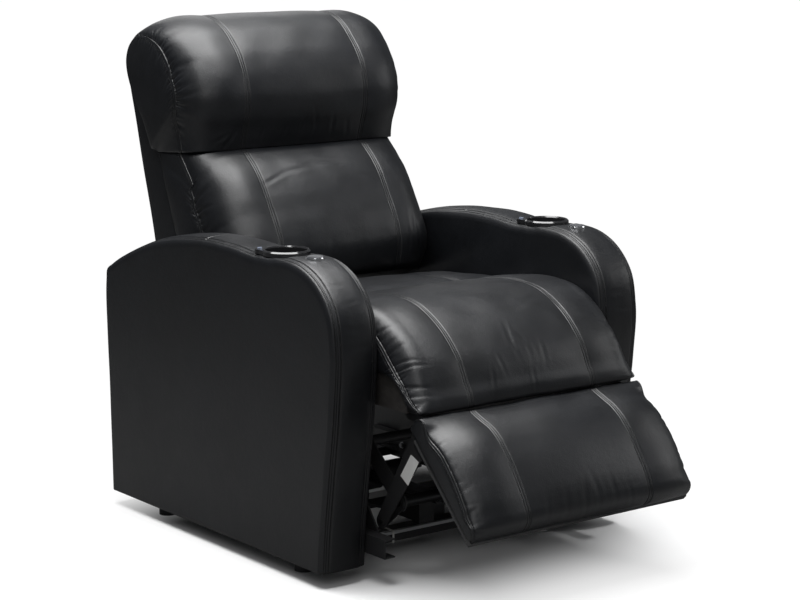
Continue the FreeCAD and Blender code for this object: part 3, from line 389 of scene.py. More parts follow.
TIE = Coated("tie_nylon", (0.6, 0.6, 0.57), 0.4, 600.0, 0.05)
STEEL_EDGE = Metal("bare_steel_edge", (0.62, 0.63, 0.64), 0.26, (14.0, 1.0, 1.0), 0.2)

NODE_FINISHES = {
    "cup_holder": CUP_SHELL, "switch_bezel": CHROME, "switch_left": BUTTON, "switch_right": BUTTON,
    "lamp_button": LAMP, "side_rail": POWDER, "cross_rail": POWDER, "front_plate": POWDER,
    "rear_plate": POWDER, "torque_bearing": POWDER, "cross_tube": POWDER, "torque_shaft": BLACKED,
    "back_shaft": BLACKED, "hinge_ear": BLACKED, "footrest_link": POWDER, "footrest_bracket": BLACKED,
    "footrest_actuator": HOUSING, "recline_actuator": HOUSING, "footrest_rod": ROD, "recline_rod": ROD,
    "actuator_saddles": POWDER, "power_supply": HOUSING, "supply_cable": SHEATH, "glides": GLIDE,
    "seat_board": STAINED, "back_board_top": PLYWOOD, "back_board_bottom": PLYWOOD,
    "seat_webbing": STRAP, "footrest_board": CAMBRIC, "arm_left_core": FOAM, "arm_right_core": FOAM,
}


class Finishes:
    """Every material of the seat, each made once when it is first asked for."""

    def __init__(self) -> None:
        self._made: dict[str, bpy.types.Material] = {}

    def get(self, finish) -> bpy.types.Material:
        """Return a finish's material.

        Args:
            finish: One of the finish dataclasses.

        Returns:
            The material, shared by all that use it.
        """
        if finish.name not in self._made:
            self._made[finish.name] = finish.build()
        return self._made[finish.name]

    def dress_frame(self, nodes: dict[str, bpy.types.Object]) -> None:
        """Give the CAD nodes that show their finer materials.

        Args:
            nodes: The frame's nodes by name.
        """
        for name, node in nodes.items():
            found = [finish for start, finish in NODE_FINISHES.items() if name.startswith(start)]
            material = self.get(found[0] if found else LEATHER)
            for slot in node.material_slots:
                slot.material = material


# Soft forms


def spline_weights(knots: np.ndarray, at: np.ndarray) -> np.ndarray:
    """Weights of the points of a smooth line at given places along it.

    Args:
        knots: Rising place of each point.
        at: Places to be worked out.

    Returns:
        One row of weights for each place.
    """
    count = len(knots)
    slope = np.zeros((count, count))
    for i in range(1, count - 1):
        a, b = knots[i] - knots[i - 1], knots[i + 1] - knots[i]
        slope[i, i - 1], slope[i, i + 1] = -b / (a * (a + b)), a / (b * (a + b))
        slope[i, i] = b / (a * (a + b)) - a / (b * (a + b))
    for i, j in ((0, 1), (count - 1, count - 2)):
        slope[i, i], slope[i, j] = 1 / (knots[i] - knots[j]), -1 / (knots[i] - knots[j])
    rows = np.zeros((len(at), count))
    cell = np.clip(np.searchsorted(knots, at, side="right") - 1, 0, count - 2)
    span = knots[cell + 1] - knots[cell]
    t = (at - knots[cell]) / span
    order = np.arange(len(at))
    rows[order, cell] += 2 * t**3 - 3 * t**2 + 1
    rows[order, cell + 1] += 3 * t**2 - 2 * t**3
    rows += (span * (t**3 - 2 * t**2 + t))[:, None] * slope[cell]
    rows += (span * (t**3 - t**2))[:, None] * slope[cell + 1]
    return rows


def chord_knots(points: np.ndarray) -> np.ndarray:
    """Distance along a line of points, from its first."""
    return np.concatenate([[0.0], np.cumsum(np.linalg.norm(np.diff(points, axis=0), axis=1))])


CLOSEST = 0.5


def spaced(length: float, step: float, marks: tuple[float, ...], fine: tuple[float, ...]) -> np.ndarray:
    """Places along a line: even ones, and closer ones round each mark.

    Args:
        length: Whole length.
        step: Even spacing.
        marks: Places that need detail.
        fine: Distances from a mark, each used on both sides.

    Returns:
        Rising places from 0 to length.
    """
    near = {round(mark + way * gap, 4) for mark in marks for gap in fine for way in (-1, 1)}
    reach = max(fine) if fine else 0.0
    even = [place for place in np.linspace(0, length, max(3, round(length / step) + 1))
            if all(abs(place - mark) > reach + 0.3 * step for mark in marks)]
    inside = {place for place in near if 0 < place < length}
    every = sorted({0.0, float(length)} | inside | set(map(float, even)))
    kept = [every[0]]
    for place in every[1:]:
        if place - kept[-1] > CLOSEST:
            kept.append(place)
    kept[-1] = float(length)
    return np.array(kept)


@dataclass(frozen=True)
class Profile:
    """Side-plane outline of a soft form, in millimetres.

    soft is the padded line as (y, z, share), with the padding on its right. back runs along
    behind it from its start to its end as (y, z, drift_y, drift_z). Where back is empty, the
    straight line between the ends of the soft line closes the form.
    """

    soft: tuple[Point3, ...]
    back: tuple[tuple[float, float, float, float], ...] = ()


@dataclass(frozen=True)
class Rim:
    """How far a soft form is drawn in across its width, from its middle to one side."""

    places: tuple[Point2, ...]
    seams: tuple[float, ...] = ()
    crown: float = 0.0
    edge_seam: bool = True


@dataclass(frozen=True)
class Fold:
    """One crease: its middle (u, x), its direction from u toward x, and its size in millimetres."""

    u: float
    x: float
    turn: float
    length: float
    width: float
    depth: float
    bend: float = 0.0


@dataclass(frozen=True)
class Gathers:
    """Puckers that run inward from an end seam."""

    spacing: float
    reach: Point2
    depth: Point2
    seed: int
    span: Point2 = (0.0, 1.0)


@dataclass
class Sheet:
    """One grid of points of a soft form, with each point's own places."""

    points: np.ndarray
    u: np.ndarray
    x: np.ndarray
    edge: np.ndarray
    kind: str
    outward: np.ndarray

    def refined(self) -> "Sheet":
        """Twice as many cells each way, on smooth lines through the points."""
        rows, columns = self.points.shape[:2]
        across = spline_weights(np.arange(rows), np.linspace(0, rows - 1, 2 * rows - 1))
        along = spline_weights(np.arange(columns), np.linspace(0, columns - 1, 2 * columns - 1))
        points = np.einsum("ai,bj,ijk->abk", across, along, self.points, optimize=True)
        rest = [np.einsum("ai,bj,ij->ab", self._linear(rows), self._linear(columns), grid, optimize=True)
                for grid in (self.u, self.x, self.edge)]
        return Sheet(points, *rest, self.kind, self.outward)

    @staticmethod
    def _linear(count: int) -> np.ndarray:
        at = np.linspace(0, count - 1, 2 * count - 1)
        rows = np.zeros((len(at), count))
        low = np.minimum(at.astype(int), count - 2)
        order = np.arange(len(at))
        rows[order, low] = 1 - (at - low)
        rows[order, low + 1] = at - low
        return rows

    def faces_out(self) -> bool:
        """Whether the grid's own order makes its faces point outward."""
        a = np.diff(self.points, axis=0)[:, :-1]
        b = np.diff(self.points, axis=1)[:-1]
        return float(np.sum(np.cross(a, b) @ self.outward)) > 0


class Welded:
    """Sheets joined at their shared points."""

    TICK = 1e-6

    def __init__(self, sheets: list[Sheet]) -> None:
        self.sheets = sheets
        every = np.concatenate([sheet.points.reshape(-1, 3) for sheet in sheets])
        keys = np.floor(every / self.TICK + 0.31).astype(np.int64)
        _, first, inverse = np.unique(keys, axis=0, return_index=True, return_inverse=True)
        order = np.argsort(first)
        rank = np.empty(len(order), int)
        rank[order] = np.arange(len(order))
        inverse = rank[inverse.reshape(-1)]
        first = first[order]
        self.points = every[first]
        joined = {name: np.concatenate([getattr(sheet, name).reshape(-1) for sheet in sheets])[first]
                  for name in ("u", "x", "edge")}
        self.u, self.x, self.edge = joined["u"], joined["x"], joined["edge"]
        kinds = np.concatenate([np.full(sheet.u.size, number) for number, sheet in enumerate(sheets)])[first]
        self.kind = np.array([sheets[number].kind for number in kinds])
        self.index, start, quads = [], 0, []
        for sheet in sheets:
            size = sheet.u.size
            grid = inverse[start:start + size].reshape(sheet.u.shape)
            start += size
            self.index.append(grid)
            corners = [grid[:-1, :-1], grid[1:, :-1], grid[1:, 1:], grid[:-1, 1:]]
            if not sheet.faces_out():
                corners.reverse()
            quads.append(np.stack([corner.reshape(-1) for corner in corners], axis=1))
        self.faces = []
        for quad in np.concatenate(quads):
            kept = [v for i, v in enumerate(quad) if v != quad[i - 1]]
            if len(set(kept)) == len(kept) >= 3:
                self.faces.append(tuple(int(v) for v in kept))

    def normals(self) -> np.ndarray:
        """Outward direction at each point."""
        total = np.zeros_like(self.points)
        for corners in (3, 4):
            group = np.array([face for face in self.faces if len(face) == corners])
            if not len(group):
                continue
            spots = self.points[group]
            if corners == 4:
                flat = np.cross(spots[:, 2] - spots[:, 0], spots[:, 3] - spots[:, 1])
            else:
                flat = np.cross(spots[:, 1] - spots[:, 0], spots[:, 2] - spots[:, 0])
            for corner in range(corners):
                np.add.at(total, group[:, corner], flat)
        return total / np.maximum(np.linalg.norm(total, axis=1, keepdims=True), 1e-12)

    def return_to_sheets(self) -> None:
        """Write the joined points back into the sheets."""
        for sheet, grid in zip(self.sheets, self.index):
            sheet.points = self.points[grid]

    def to_object(self, name: str, seam: np.ndarray, material: bpy.types.Material) -> bpy.types.Object:
        """Make the mesh object.

        Args:
            name: Name of the piece.
            seam: Nearness of a seam at each point, from 0 to 1, kept as the mask of painted shade at the
                seams.
            material: Finish of the piece.

        Returns:
            The object at the origin.
        """
        mesh = bpy.data.meshes.new(name)
        mesh.from_pydata(self.points.tolist(), [], self.faces)
        mesh.attributes.new("seam", "FLOAT", "POINT").data.foreach_set("value", seam.astype(np.float32))
        mesh.materials.append(material)
        mesh.shade_smooth()
        made = bpy.data.objects.new(name, mesh)
        bpy.context.scene.collection.objects.link(made)
        return made


def undulation(points: np.ndarray, seed: int, height: float, wave: float) -> np.ndarray:
    """Slow, uneven swell of stuffed leather.

    Args:
        points: Places in metres.
        seed: Fixed seed.
        height: Largest swell.
        wave: Typical wave length in metres.

    Returns:
        The swell at each place.
    """
    rng = np.random.default_rng(seed)
    total = np.zeros(len(points))
    for _ in range(14):
        heading = rng.normal(size=3)
        heading /= np.linalg.norm(heading)
        length = wave * rng.uniform(0.55, 1.6)
        total += np.sin(points @ heading * (2 * math.pi / length) + rng.uniform(0, 2 * math.pi))
    return height * total / 5.0


@dataclass
class SoftForm:
    """Stuffed leather form: its shape, its seams, its folds and its stitches."""

    name: str
    profile: Profile
    rim: Rim
    seed: int
    folds: tuple[Fold, ...] = ()
    gathers: tuple[Gathers, ...] = ()
    swell: float = 0.9
    cap_swell: float = 0.6
    step: float = 6.0
    rows: tuple[float, ...] = (0.0, 0.02, 0.045, 0.07, 0.1, 0.15, 0.23, 0.34, 0.47, 0.61, 0.75, 0.88, 1.0)
    marks: tuple[float, ...] = ()
    cap_bulge: float = 2.0
    centre_x: float = 0.0
    pressure: float = 0.0
    tuck: tuple[float, float, float] = (0.0, 0.0, 40.0)
    mesh: Welded | None = field(default=None, init=False)

    COARSE: ClassVar[float] = 13.0
    CALMING: ClassVar[int] = 3
    FINE: ClassVar[tuple[float, ...]] = (0.0, 2.4, 4.0, 5.2, 6.4, 8.6, 12.0)
    MARK_FINE: ClassVar[tuple[float, ...]] = (0.0, 1.6, 3.4, 6.0)
    CROWN_POWER: ClassVar[float] = 2.4
    FAR: ClassVar[float] = 99.0
    ON_SEAM: ClassVar[float] = 1.0
    ROW_GAP: ClassVar[float] = 5.2
    ROW_WIDTH: ClassVar[float] = 1.2
    ROW_DEPTH: ClassVar[float] = 1.5
    JOIN_WIDTH: ClassVar[float] = 0.9
    JOIN_DEPTH: ClassVar[float] = 0.7
    JOIN_PAINTED_SHADE: ClassVar[float] = 0.5
    CROSS_WIDTH: ClassVar[float] = 1.6
    CROSS_DEPTH: ClassVar[float] = 1.6
    CROSS_PAINTED_SHADE_WIDTH: ClassVar[float] = 2.5
    FOLD_SHARE: ClassVar[float] = 0.5
    FOLD_SHOULDER: ClassVar[float] = 1.9
    SHOULDER_HEIGHT: ClassVar[float] = 0.55
    GATHER_REACH: ClassVar[float] = 160.0
    GATHER_CALM: ClassVar[float] = 6.0
    CAP_REACH: ClassVar[float] = 0.45
    SWELL_WAVE: ClassVar[float] = 0.13

    def _soft_weights(self, coarse: bool) -> tuple[np.ndarray, np.ndarray, np.ndarray, np.ndarray]:
        """Weights, points and inward moves of the padded line, and its places."""
        soft = np.array(self.profile.soft)
        places, share = soft[:, :2], soft[:, 2:]
        knots = chord_knots(places)
        moves = np.zeros_like(places)
        run = places[2:] - places[:-2]
        inward = np.stack([run[:, 1], -run[:, 0]], axis=1)
        moves[1:-1] = inward / np.linalg.norm(run, axis=1, keepdims=True)
        back = self.profile.back
        first = np.array(back[0][:2]) if back else places[-1]
        last = np.array(back[-1][:2]) if back else places[0]
        for index, toward in ((0, first), (-1, last)):
            run = toward - places[index]
            span = np.linalg.norm(run)
            moves[index] = run / span if span > 1e-6 else 0.0
        at = spaced(knots[-1], self.COARSE if coarse else self.step, self.marks, self.MARK_FINE)
        return spline_weights(knots, at), places, moves * share, at

    def _stations(self, coarse: bool) -> np.ndarray:
        """Rows of (x, inset, distance from the end seam, place on the rim) from one side to the other."""
        places = np.array(self.rim.places)
        knots = chord_knots(places)
        seams = tuple(float(np.interp(abs(seam), places[:, 0], knots)) for seam in self.rim.seams)
        marks = seams + ((float(knots[-1]),) if self.rim.edge_seam else ())
        step, fine = (self.COARSE, (0.0,)) if coarse else (self.step, self.FINE)
        at = spaced(knots[-1], step, marks, fine)
        half = spline_weights(knots, at) @ places
        x = half[:, 0]
        bounds = [0.0, *(abs(seam) for seam in self.rim.seams), places[-1, 0]]
        lift = np.zeros(len(x))
        for low, high in zip(bounds, bounds[1:]):
            inside = (x >= low) & (x <= high)
            middle, reach = (0.0, high) if low == 0 else ((low + high) / 2, (high - low) / 2)
            offset = np.abs((x - middle) / reach)
            arch = 1 - np.clip(offset, 0, 1) ** self.CROWN_POWER
            lift = np.where(inside, self.rim.crown * arch, lift)
        half[:, 1] -= lift
        edge = knots[-1] - at
        right = np.column_stack([half, edge, at])
        left = right[::-1].copy()
        left[:, (0, 3)] *= -1
        return np.concatenate([left[:-1], right])

    def sheets(self, coarse: bool = False) -> list[Sheet]:
        """The six grids of the form, fine ones or the coarse ones that the cloth simulation takes."""
        weights, places, moves, at = self._soft_weights(coarse)
        stations = self._stations(coarse)
        base, drift = weights @ places, weights @ moves
        soft = base[None] + stations[:, 1, None, None] * drift[None]
        self._length = float(at[-1])
        inset = np.maximum(stations[:, 1], 0.0)
        if self.profile.back:
            corners = np.array(self.profile.back)
            knots = chord_knots(corners[:, :2])
            share = at / at[-1] * knots[-1]
            lines = np.array([np.interp(share, knots, np.eye(len(knots))[k]) for k in range(len(knots))]).T
            drawn = inset[:, None, None] * (lines @ corners[:, 2:])[None]
            back = (lines @ corners[:, :2])[None] + drawn
        else:
            share = (at / at[-1])[None, :, None]
            back = soft[:, :1] * (1 - share) + soft[:, -1:] * share

        def lifted(flat: np.ndarray, x: np.ndarray) -> np.ndarray:
            return np.concatenate([np.broadcast_to(x[..., None], flat.shape[:-1] + (1,)), flat], axis=-1)

        x = stations[:, 0] + self.centre_x
        wide = np.broadcast_to(x[:, None], soft.shape[:2])
        u = np.broadcast_to(at[None], soft.shape[:2])
        edge = np.broadcast_to(stations[:, 2, None], soft.shape[:2])
        middle = len(x) // 2
        front_out = -np.array([0.0, *drift[1:-1].mean(axis=0)])
        rear_out = np.array([0.0, *(back[middle] - soft[middle]).mean(axis=0)])
        sheets = [Sheet(lifted(soft, wide), u, wide, edge, "front", front_out),
                  Sheet(lifted(back, wide), u, wide, np.full_like(edge, self.FAR), "rear", rear_out)]
        t = np.array(self.rows)
        for column, inner in ((0, 1), (-1, -2)):
            flat = soft[:, column, None] * (1 - t[None, :, None]) + back[:, column, None] * t[None, :, None]
            grid_x = np.broadcast_to(x[:, None], flat.shape[:2])
            run = base[column] - base[inner]
            sheets.append(Sheet(lifted(flat, grid_x), np.full(flat.shape[:2], at[column]), grid_x,
                                np.full(flat.shape[:2], self.FAR), "strip", np.array([0.0, *run])))
        for end, way in ((0, -1), (-1, 1)):
            flat = soft[end, None] * (1 - t[:, None, None]) + back[end, None] * t[:, None, None]
            along = np.abs(np.sin(math.pi * at / at[-1])) ** 0.5
            bulge = self.cap_bulge * np.outer((4 * t * (1 - t)) ** 0.6, along)
            grid_x = x[end] + way * bulge
            width = np.linalg.norm(back[end] - soft[end], axis=1)
            away = -t[:, None] * width[None]
            sheets.append(Sheet(lifted(flat, grid_x), np.broadcast_to(at[None], flat.shape[:2]),
                                np.full(flat.shape[:2], x[end]), away, "cap", np.array([float(way), 0, 0])))
        for sheet in sheets:
            self._tuck_corners(sheet)
            sheet.points = sheet.points * MM
        return sheets

    def _tuck_corners(self, sheet: Sheet) -> None:
        """Draw the ends in where the padded line starts and stops, so that the corners are round."""
        first, last, reach = self.tuck
        half = self.rim.places[-1][0]
        to_end = self._length - sheet.u
        draw = first * np.exp(-((sheet.u / reach) ** 2)) + last * np.exp(-((to_end / reach) ** 2))
        away = sheet.x - self.centre_x
        sheet.points[..., 0] -= draw * np.sign(away) * np.clip(np.abs(away) / half, 0, 1) ** 6

    def _pinned(self, mesh: Welded) -> np.ndarray:
        """Points that the seams and the backing hold."""
        held = mesh.kind != "front"
        for seam in self.rim.seams:
            held |= np.abs(np.abs(mesh.x) - abs(seam)) < self.ON_SEAM
        held |= mesh.edge < self.ON_SEAM
        ends = (mesh.u < self.ON_SEAM) | (mesh.u > mesh.u.max() - self.ON_SEAM)
        return held | ends

    def _relief(self, mesh: Welded) -> tuple[np.ndarray, np.ndarray]:
        """Height of the fine forms in millimetres, and nearness of a seam, which the leather shows as painted
        shade.
        """
        u, x, edge = mesh.u, mesh.x - self.centre_x, mesh.edge
        front, cap = mesh.kind == "front", mesh.kind == "cap"
        height = np.zeros(len(u))
        near = np.zeros(len(u))

        def sew(distance: np.ndarray, where: np.ndarray) -> None:
            nonlocal height, near
            d = np.abs(distance)
            rows = np.exp(-(((d - self.ROW_GAP) / self.ROW_WIDTH) ** 2))
            join = np.exp(-((d / self.JOIN_WIDTH) ** 2))
            height = height - np.where(where, self.ROW_DEPTH * rows + self.JOIN_DEPTH * join, 0.0)
            # near is painted shade in the seam grooves and along the stitch rows; it also calms the swell.
            near = np.maximum(near, np.where(where, rows + self.JOIN_PAINTED_SHADE * join, 0.0))

        for seam in self.rim.seams:
            sew(np.abs(x) - abs(seam), front)
        if self.rim.edge_seam:
            sew(edge, front | cap)
        for mark in self.marks:
            inner = front & (np.abs(x) < abs(self.rim.seams[0]) - self.ON_SEAM)
            d = np.abs(u - mark)
            height -= np.where(inner, self.CROSS_DEPTH * np.exp(-((d / self.CROSS_WIDTH) ** 2)), 0.0)
            # Painted shade along the cross seam.
            near = np.maximum(near, np.where(inner, np.exp(-((d / self.CROSS_PAINTED_SHADE_WIDTH) ** 2)), 0.0))
        for number, gathers in enumerate(self.gathers):
            height += self._gather(gathers, number, u, x, edge, front, cap)
        for fold in self.folds:
            cos, sin = math.cos(math.radians(fold.turn)), math.sin(math.radians(fold.turn))
            along = (u - fold.u) * cos + (x - fold.x) * sin
            aside = (x - fold.x) * cos - (u - fold.u) * sin - fold.bend * (along / fold.length) ** 2
            shape = np.exp(-((along / fold.length) ** 2) * 1.6)
            shoulder = (np.abs(aside) - self.FOLD_SHOULDER * fold.width) / fold.width
            crease = np.exp(-((aside / fold.width) ** 2)) - self.SHOULDER_HEIGHT * np.exp(-(shoulder ** 2))
            height -= np.where(front, self.FOLD_SHARE * fold.depth * crease * shape, 0.0)
        return height, near

    def _gather(self, gathers: Gathers, number: int, u: np.ndarray, x: np.ndarray, edge: np.ndarray,
                front: np.ndarray, cap: np.ndarray) -> np.ndarray:
        """Depth of one set of puckers at each point, as a height below the surface."""
        rng = np.random.default_rng(self.seed * 31 + number + gathers.seed)
        total = np.zeros(len(u))
        low, high = gathers.span[0] * u.max(), gathers.span[1] * u.max()
        for way in (-1, 1):
            place = low + gathers.spacing * rng.uniform(0.2, 0.8)
            side = (np.sign(x) == way) & (edge < self.GATHER_REACH)
            while place < high:
                reach = rng.uniform(*gathers.reach)
                depth = rng.uniform(*gathers.depth)
                width = rng.uniform(0.2, 0.38) * gathers.spacing
                lean = rng.uniform(-0.35, 0.35)
                d = np.abs(edge)
                aside = u - place - lean * d - 0.12 * width * np.sin(d / 9.0 + place)
                span = np.where(front, reach, reach * self.CAP_REACH)
                fade = np.clip(1 - d / span, 0, 1) ** 1.3 * (1 - np.exp(-((d / self.GATHER_CALM) ** 2)))
                crease = np.exp(-((aside / (width * (0.6 + 0.5 * d / span))) ** 2))
                total -= np.where(side & (front | cap), depth * crease * fade, 0.0)
                place += gathers.spacing * rng.uniform(0.55, 1.5)
        return total

    def shape(self) -> np.ndarray:
        """Shape, inflate and detail the form.

        Returns:
            Nearness of a seam at each point.
        """
        fine = self.sheets()
        if self.pressure:
            self._inflate(fine[0])
        self.mesh = Welded([sheet.refined() for sheet in fine])
        height, near = self._relief(self.mesh)
        kind = self.mesh.kind
        calm = np.where(kind == "front", 1.0, np.where(kind == "cap", self.cap_swell, 0.0))
        calm *= 1 - 0.8 * near
        height += calm * undulation(self.mesh.points, self.seed, self.swell, self.SWELL_WAVE)
        self.mesh.points = self.mesh.points + self.mesh.normals() * (height * MM)[:, None]
        self.mesh.return_to_sheets()
        return near

    def build(self, material: bpy.types.Material) -> bpy.types.Object:
        """Shape the form and make its mesh.

        Args:
            material: Finish of the leather.

        Returns:
            The finished mesh object.
        """
        near = self.shape()
        return self.mesh.to_object(self.name, near, material)

    def _inflate(self, front: Sheet) -> None:
        """Press the padded face out by a cloth simulation of the coarse form."""
        coarse = Welded(self.sheets(True))
        moved = inflate(coarse, self._pinned(coarse), self.pressure)
        shift = (moved - coarse.points)[coarse.index[0]]
        free = ~self._pinned(coarse)[coarse.index[0]]
        for _ in range(self.CALMING):
            shift[1:-1] = (shift[:-2] + 2 * shift[1:-1] + shift[2:]) / 4
            shift[:, 1:-1] = (shift[:, :-2] + 2 * shift[:, 1:-1] + shift[:, 2:]) / 4
            shift *= free[..., None]
        across = spline_weights(self._stations(True)[:, 3], self._stations(False)[:, 3])
        along = spline_weights(coarse.sheets[0].u[0], front.u[0])
        front.points = front.points + np.einsum("ai,bj,ijk->abk", across, along, shift, optimize=True)

    def row_across(self, x: float) -> np.ndarray:
        """Line over the front at one place across it."""
        front = self.mesh.sheets[0]
        places = front.x[:, 0] - self.centre_x
        at = np.clip(np.searchsorted(places, x), 1, len(places) - 1)
        t = (x - places[at - 1]) / (places[at] - places[at - 1])
        return front.points[at - 1] * (1 - t) + front.points[at] * t

    def row_by_edge(self, way: int, gap: float) -> np.ndarray:
        """Line beside an end seam, on the front for a positive gap and on the cap for a negative one."""
        if gap > 0:
            front = self.mesh.sheets[0]
            edge, points = front.edge[:, 0], front.points
            order = slice(None) if way < 0 else slice(None, None, -1)
            edge, points = edge[order], points[order]
            at = int(np.clip(np.searchsorted(edge, gap), 1, len(edge) - 1))
            t = (gap - edge[at - 1]) / (edge[at] - edge[at - 1])
            return points[at - 1] * (1 - t) + points[at] * t
        cap = self.mesh.sheets[4 if way < 0 else 5]
        line = []
        for column in range(cap.u.shape[1]):
            away = -cap.edge[:, column]
            if away[-1] < 2 * abs(gap):
                continue
            at = int(np.clip(np.searchsorted(away, -gap), 1, len(away) - 1))
            t = (-gap - away[at - 1]) / (away[at] - away[at - 1])
            line.append(cap.points[at - 1, column] * (1 - t) + cap.points[at, column] * t)
        return np.array(line)

    def stitch_rows(self) -> list[np.ndarray]:
        """Every row of stitches of the form."""
        rows = []
        for seam in self.rim.seams:
            for way in (-1, 1):
                for gap in (-self.ROW_GAP, self.ROW_GAP):
                    rows.append(self.row_across(way * abs(seam) + gap))
        if self.rim.edge_seam:
            for way in (-1, 1):
                rows.append(self.row_by_edge(way, self.ROW_GAP))
                rows.append(self.row_by_edge(way, -self.ROW_GAP))
        return [row for row in rows if len(row) > 3]


@dataclass(frozen=True)
class Cloth:
    """Settings of the leather in the cloth simulation, with frames and the largest move."""

    quality: int = 6
    mass: float = 0.2
    stretch: float = 14.0
    shear: float = 6.0
    bending: float = 4.0
    last_frame: int = 20
    cap: float = 24.0 * MM


def inflate(mesh: Welded, pinned: np.ndarray, pressure: float, cloth: Cloth = Cloth()) -> np.ndarray:
    """Let a cloth simulation press the leather out between its seams.

    Args:
        mesh: The welded form.
        pinned: Which points the seams and the backing hold.
        pressure: Pressure of the stuffing.
        cloth: Settings of the leather.

    Returns:
        The points after the simulation.
    """
    data = bpy.data.meshes.new("inflating")
    data.from_pydata(mesh.points.tolist(), [], mesh.faces)
    body = bpy.data.objects.new("inflating", data)
    scene = bpy.context.scene
    scene.collection.objects.link(body)
    group = body.vertex_groups.new(name="held")
    group.add([int(v) for v in np.flatnonzero(pinned)], 1.0, "REPLACE")
    modifier = body.modifiers.new("Cloth", "CLOTH")
    settings = modifier.settings
    settings.quality = cloth.quality
    settings.mass = cloth.mass
    settings.tension_stiffness = settings.compression_stiffness = cloth.stretch
    settings.shear_stiffness = cloth.shear
    settings.bending_stiffness = cloth.bending
    settings.vertex_group_mass = "held"
    settings.shrink_min = 0.0
    settings.use_pressure = True
    settings.uniform_pressure_force = pressure
    settings.effector_weights.gravity = 0.0
    modifier.collision_settings.use_collision = False
    modifier.collision_settings.use_self_collision = False
    modifier.point_cache.frame_start, modifier.point_cache.frame_end = 1, cloth.last_frame
    for frame in range(1, cloth.last_frame + 1):
        scene.frame_set(frame)
    after = body.evaluated_get(bpy.context.evaluated_depsgraph_get())
    moved = np.array([v.co for v in after.data.vertices], float).reshape(-1, 3)
    scene.frame_set(1)
    bpy.data.objects.remove(body)
    bpy.data.meshes.remove(data)
    step = moved - mesh.points
    length = np.linalg.norm(step, axis=1, keepdims=True)
    LOG.info("inflated by up to %.1f mm", float(length.max()) / MM)
    return mesh.points + step * np.minimum(1.0, cloth.cap / np.maximum(length, 1e-9))


# Repeated pieces


class NodeTree:
    """A Geometry Nodes tree that sets one shape on every point of a line or a cloud."""

    def __init__(self, name: str, inputs: tuple[tuple[str, str], ...]) -> None:
        self.group = bpy.data.node_groups.new(name, "GeometryNodeTree")
        face = self.group.interface
        face.new_socket("Geometry", in_out="INPUT", socket_type="NodeSocketGeometry")
        self.sockets = {title: face.new_socket(title, in_out="INPUT", socket_type=kind)
                        for title, kind in inputs}
        face.new_socket("Geometry", in_out="OUTPUT", socket_type="NodeSocketGeometry")
        self.start = self.group.nodes.new("NodeGroupInput")
        self.end = self.group.nodes.new("NodeGroupOutput")

    def add(self, kind: str, settings: dict, links: dict) -> bpy.types.Node:
        """Add one node.

        Args:
            kind: Blender's name of the node type.
            settings: Properties set first.
            links: Sockets or plain values by input name or index.

        Returns:
            The node.
        """
        node = self.group.nodes.new(kind)
        for key, setting in settings.items():
            setattr(node, key, setting)
        for key, given in links.items():
            if isinstance(given, bpy.types.NodeSocket):
                self.group.links.new(given, node.inputs[key])
            else:
                node.inputs[key].default_value = given
        return node

    def close(self, instances: bpy.types.NodeSocket) -> None:
        """End the tree in real geometry with its material."""
        real = self.add("GeometryNodeRealizeInstances", {}, {0: instances})
        smooth = self.add("GeometryNodeSetShadeSmooth", {}, {0: real.outputs[0]})
        painted = self.add("GeometryNodeSetMaterial", {}, {0: smooth.outputs[0],
                                                           "Material": self.start.outputs["Material"]})
        self.group.links.new(painted.outputs[0], self.end.inputs[0])

    def run(self, name: str, mesh: bpy.types.Mesh, values: dict, body: str) -> bpy.types.Object:
        """Turn a mesh of lines or points into the repeated piece of one body.

        Args:
            name: Name of the piece.
            mesh: Lines or points that carry the shapes.
            values: The tree's inputs by title.
            body: CAD body that the piece rides on.

        Returns:
            The plain mesh object.
        """
        carrier = bpy.data.objects.new(name + "_path", mesh)
        bpy.context.scene.collection.objects.link(carrier)
        modifier = carrier.modifiers.new("Nodes", "NODES")
        modifier.node_group = self.group
        for title, given in values.items():
            modifier[self.sockets[title].identifier] = given
        bpy.context.view_layer.update()
        graph = bpy.context.evaluated_depsgraph_get()
        plain = bpy.data.meshes.new_from_object(carrier.evaluated_get(graph))
        plain.name = name
        carrier.modifiers.remove(modifier)
        bpy.data.objects.remove(carrier)
        made = bpy.data.objects.new(name, plain)
        bpy.context.scene.collection.objects.link(made)
        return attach(made, body)


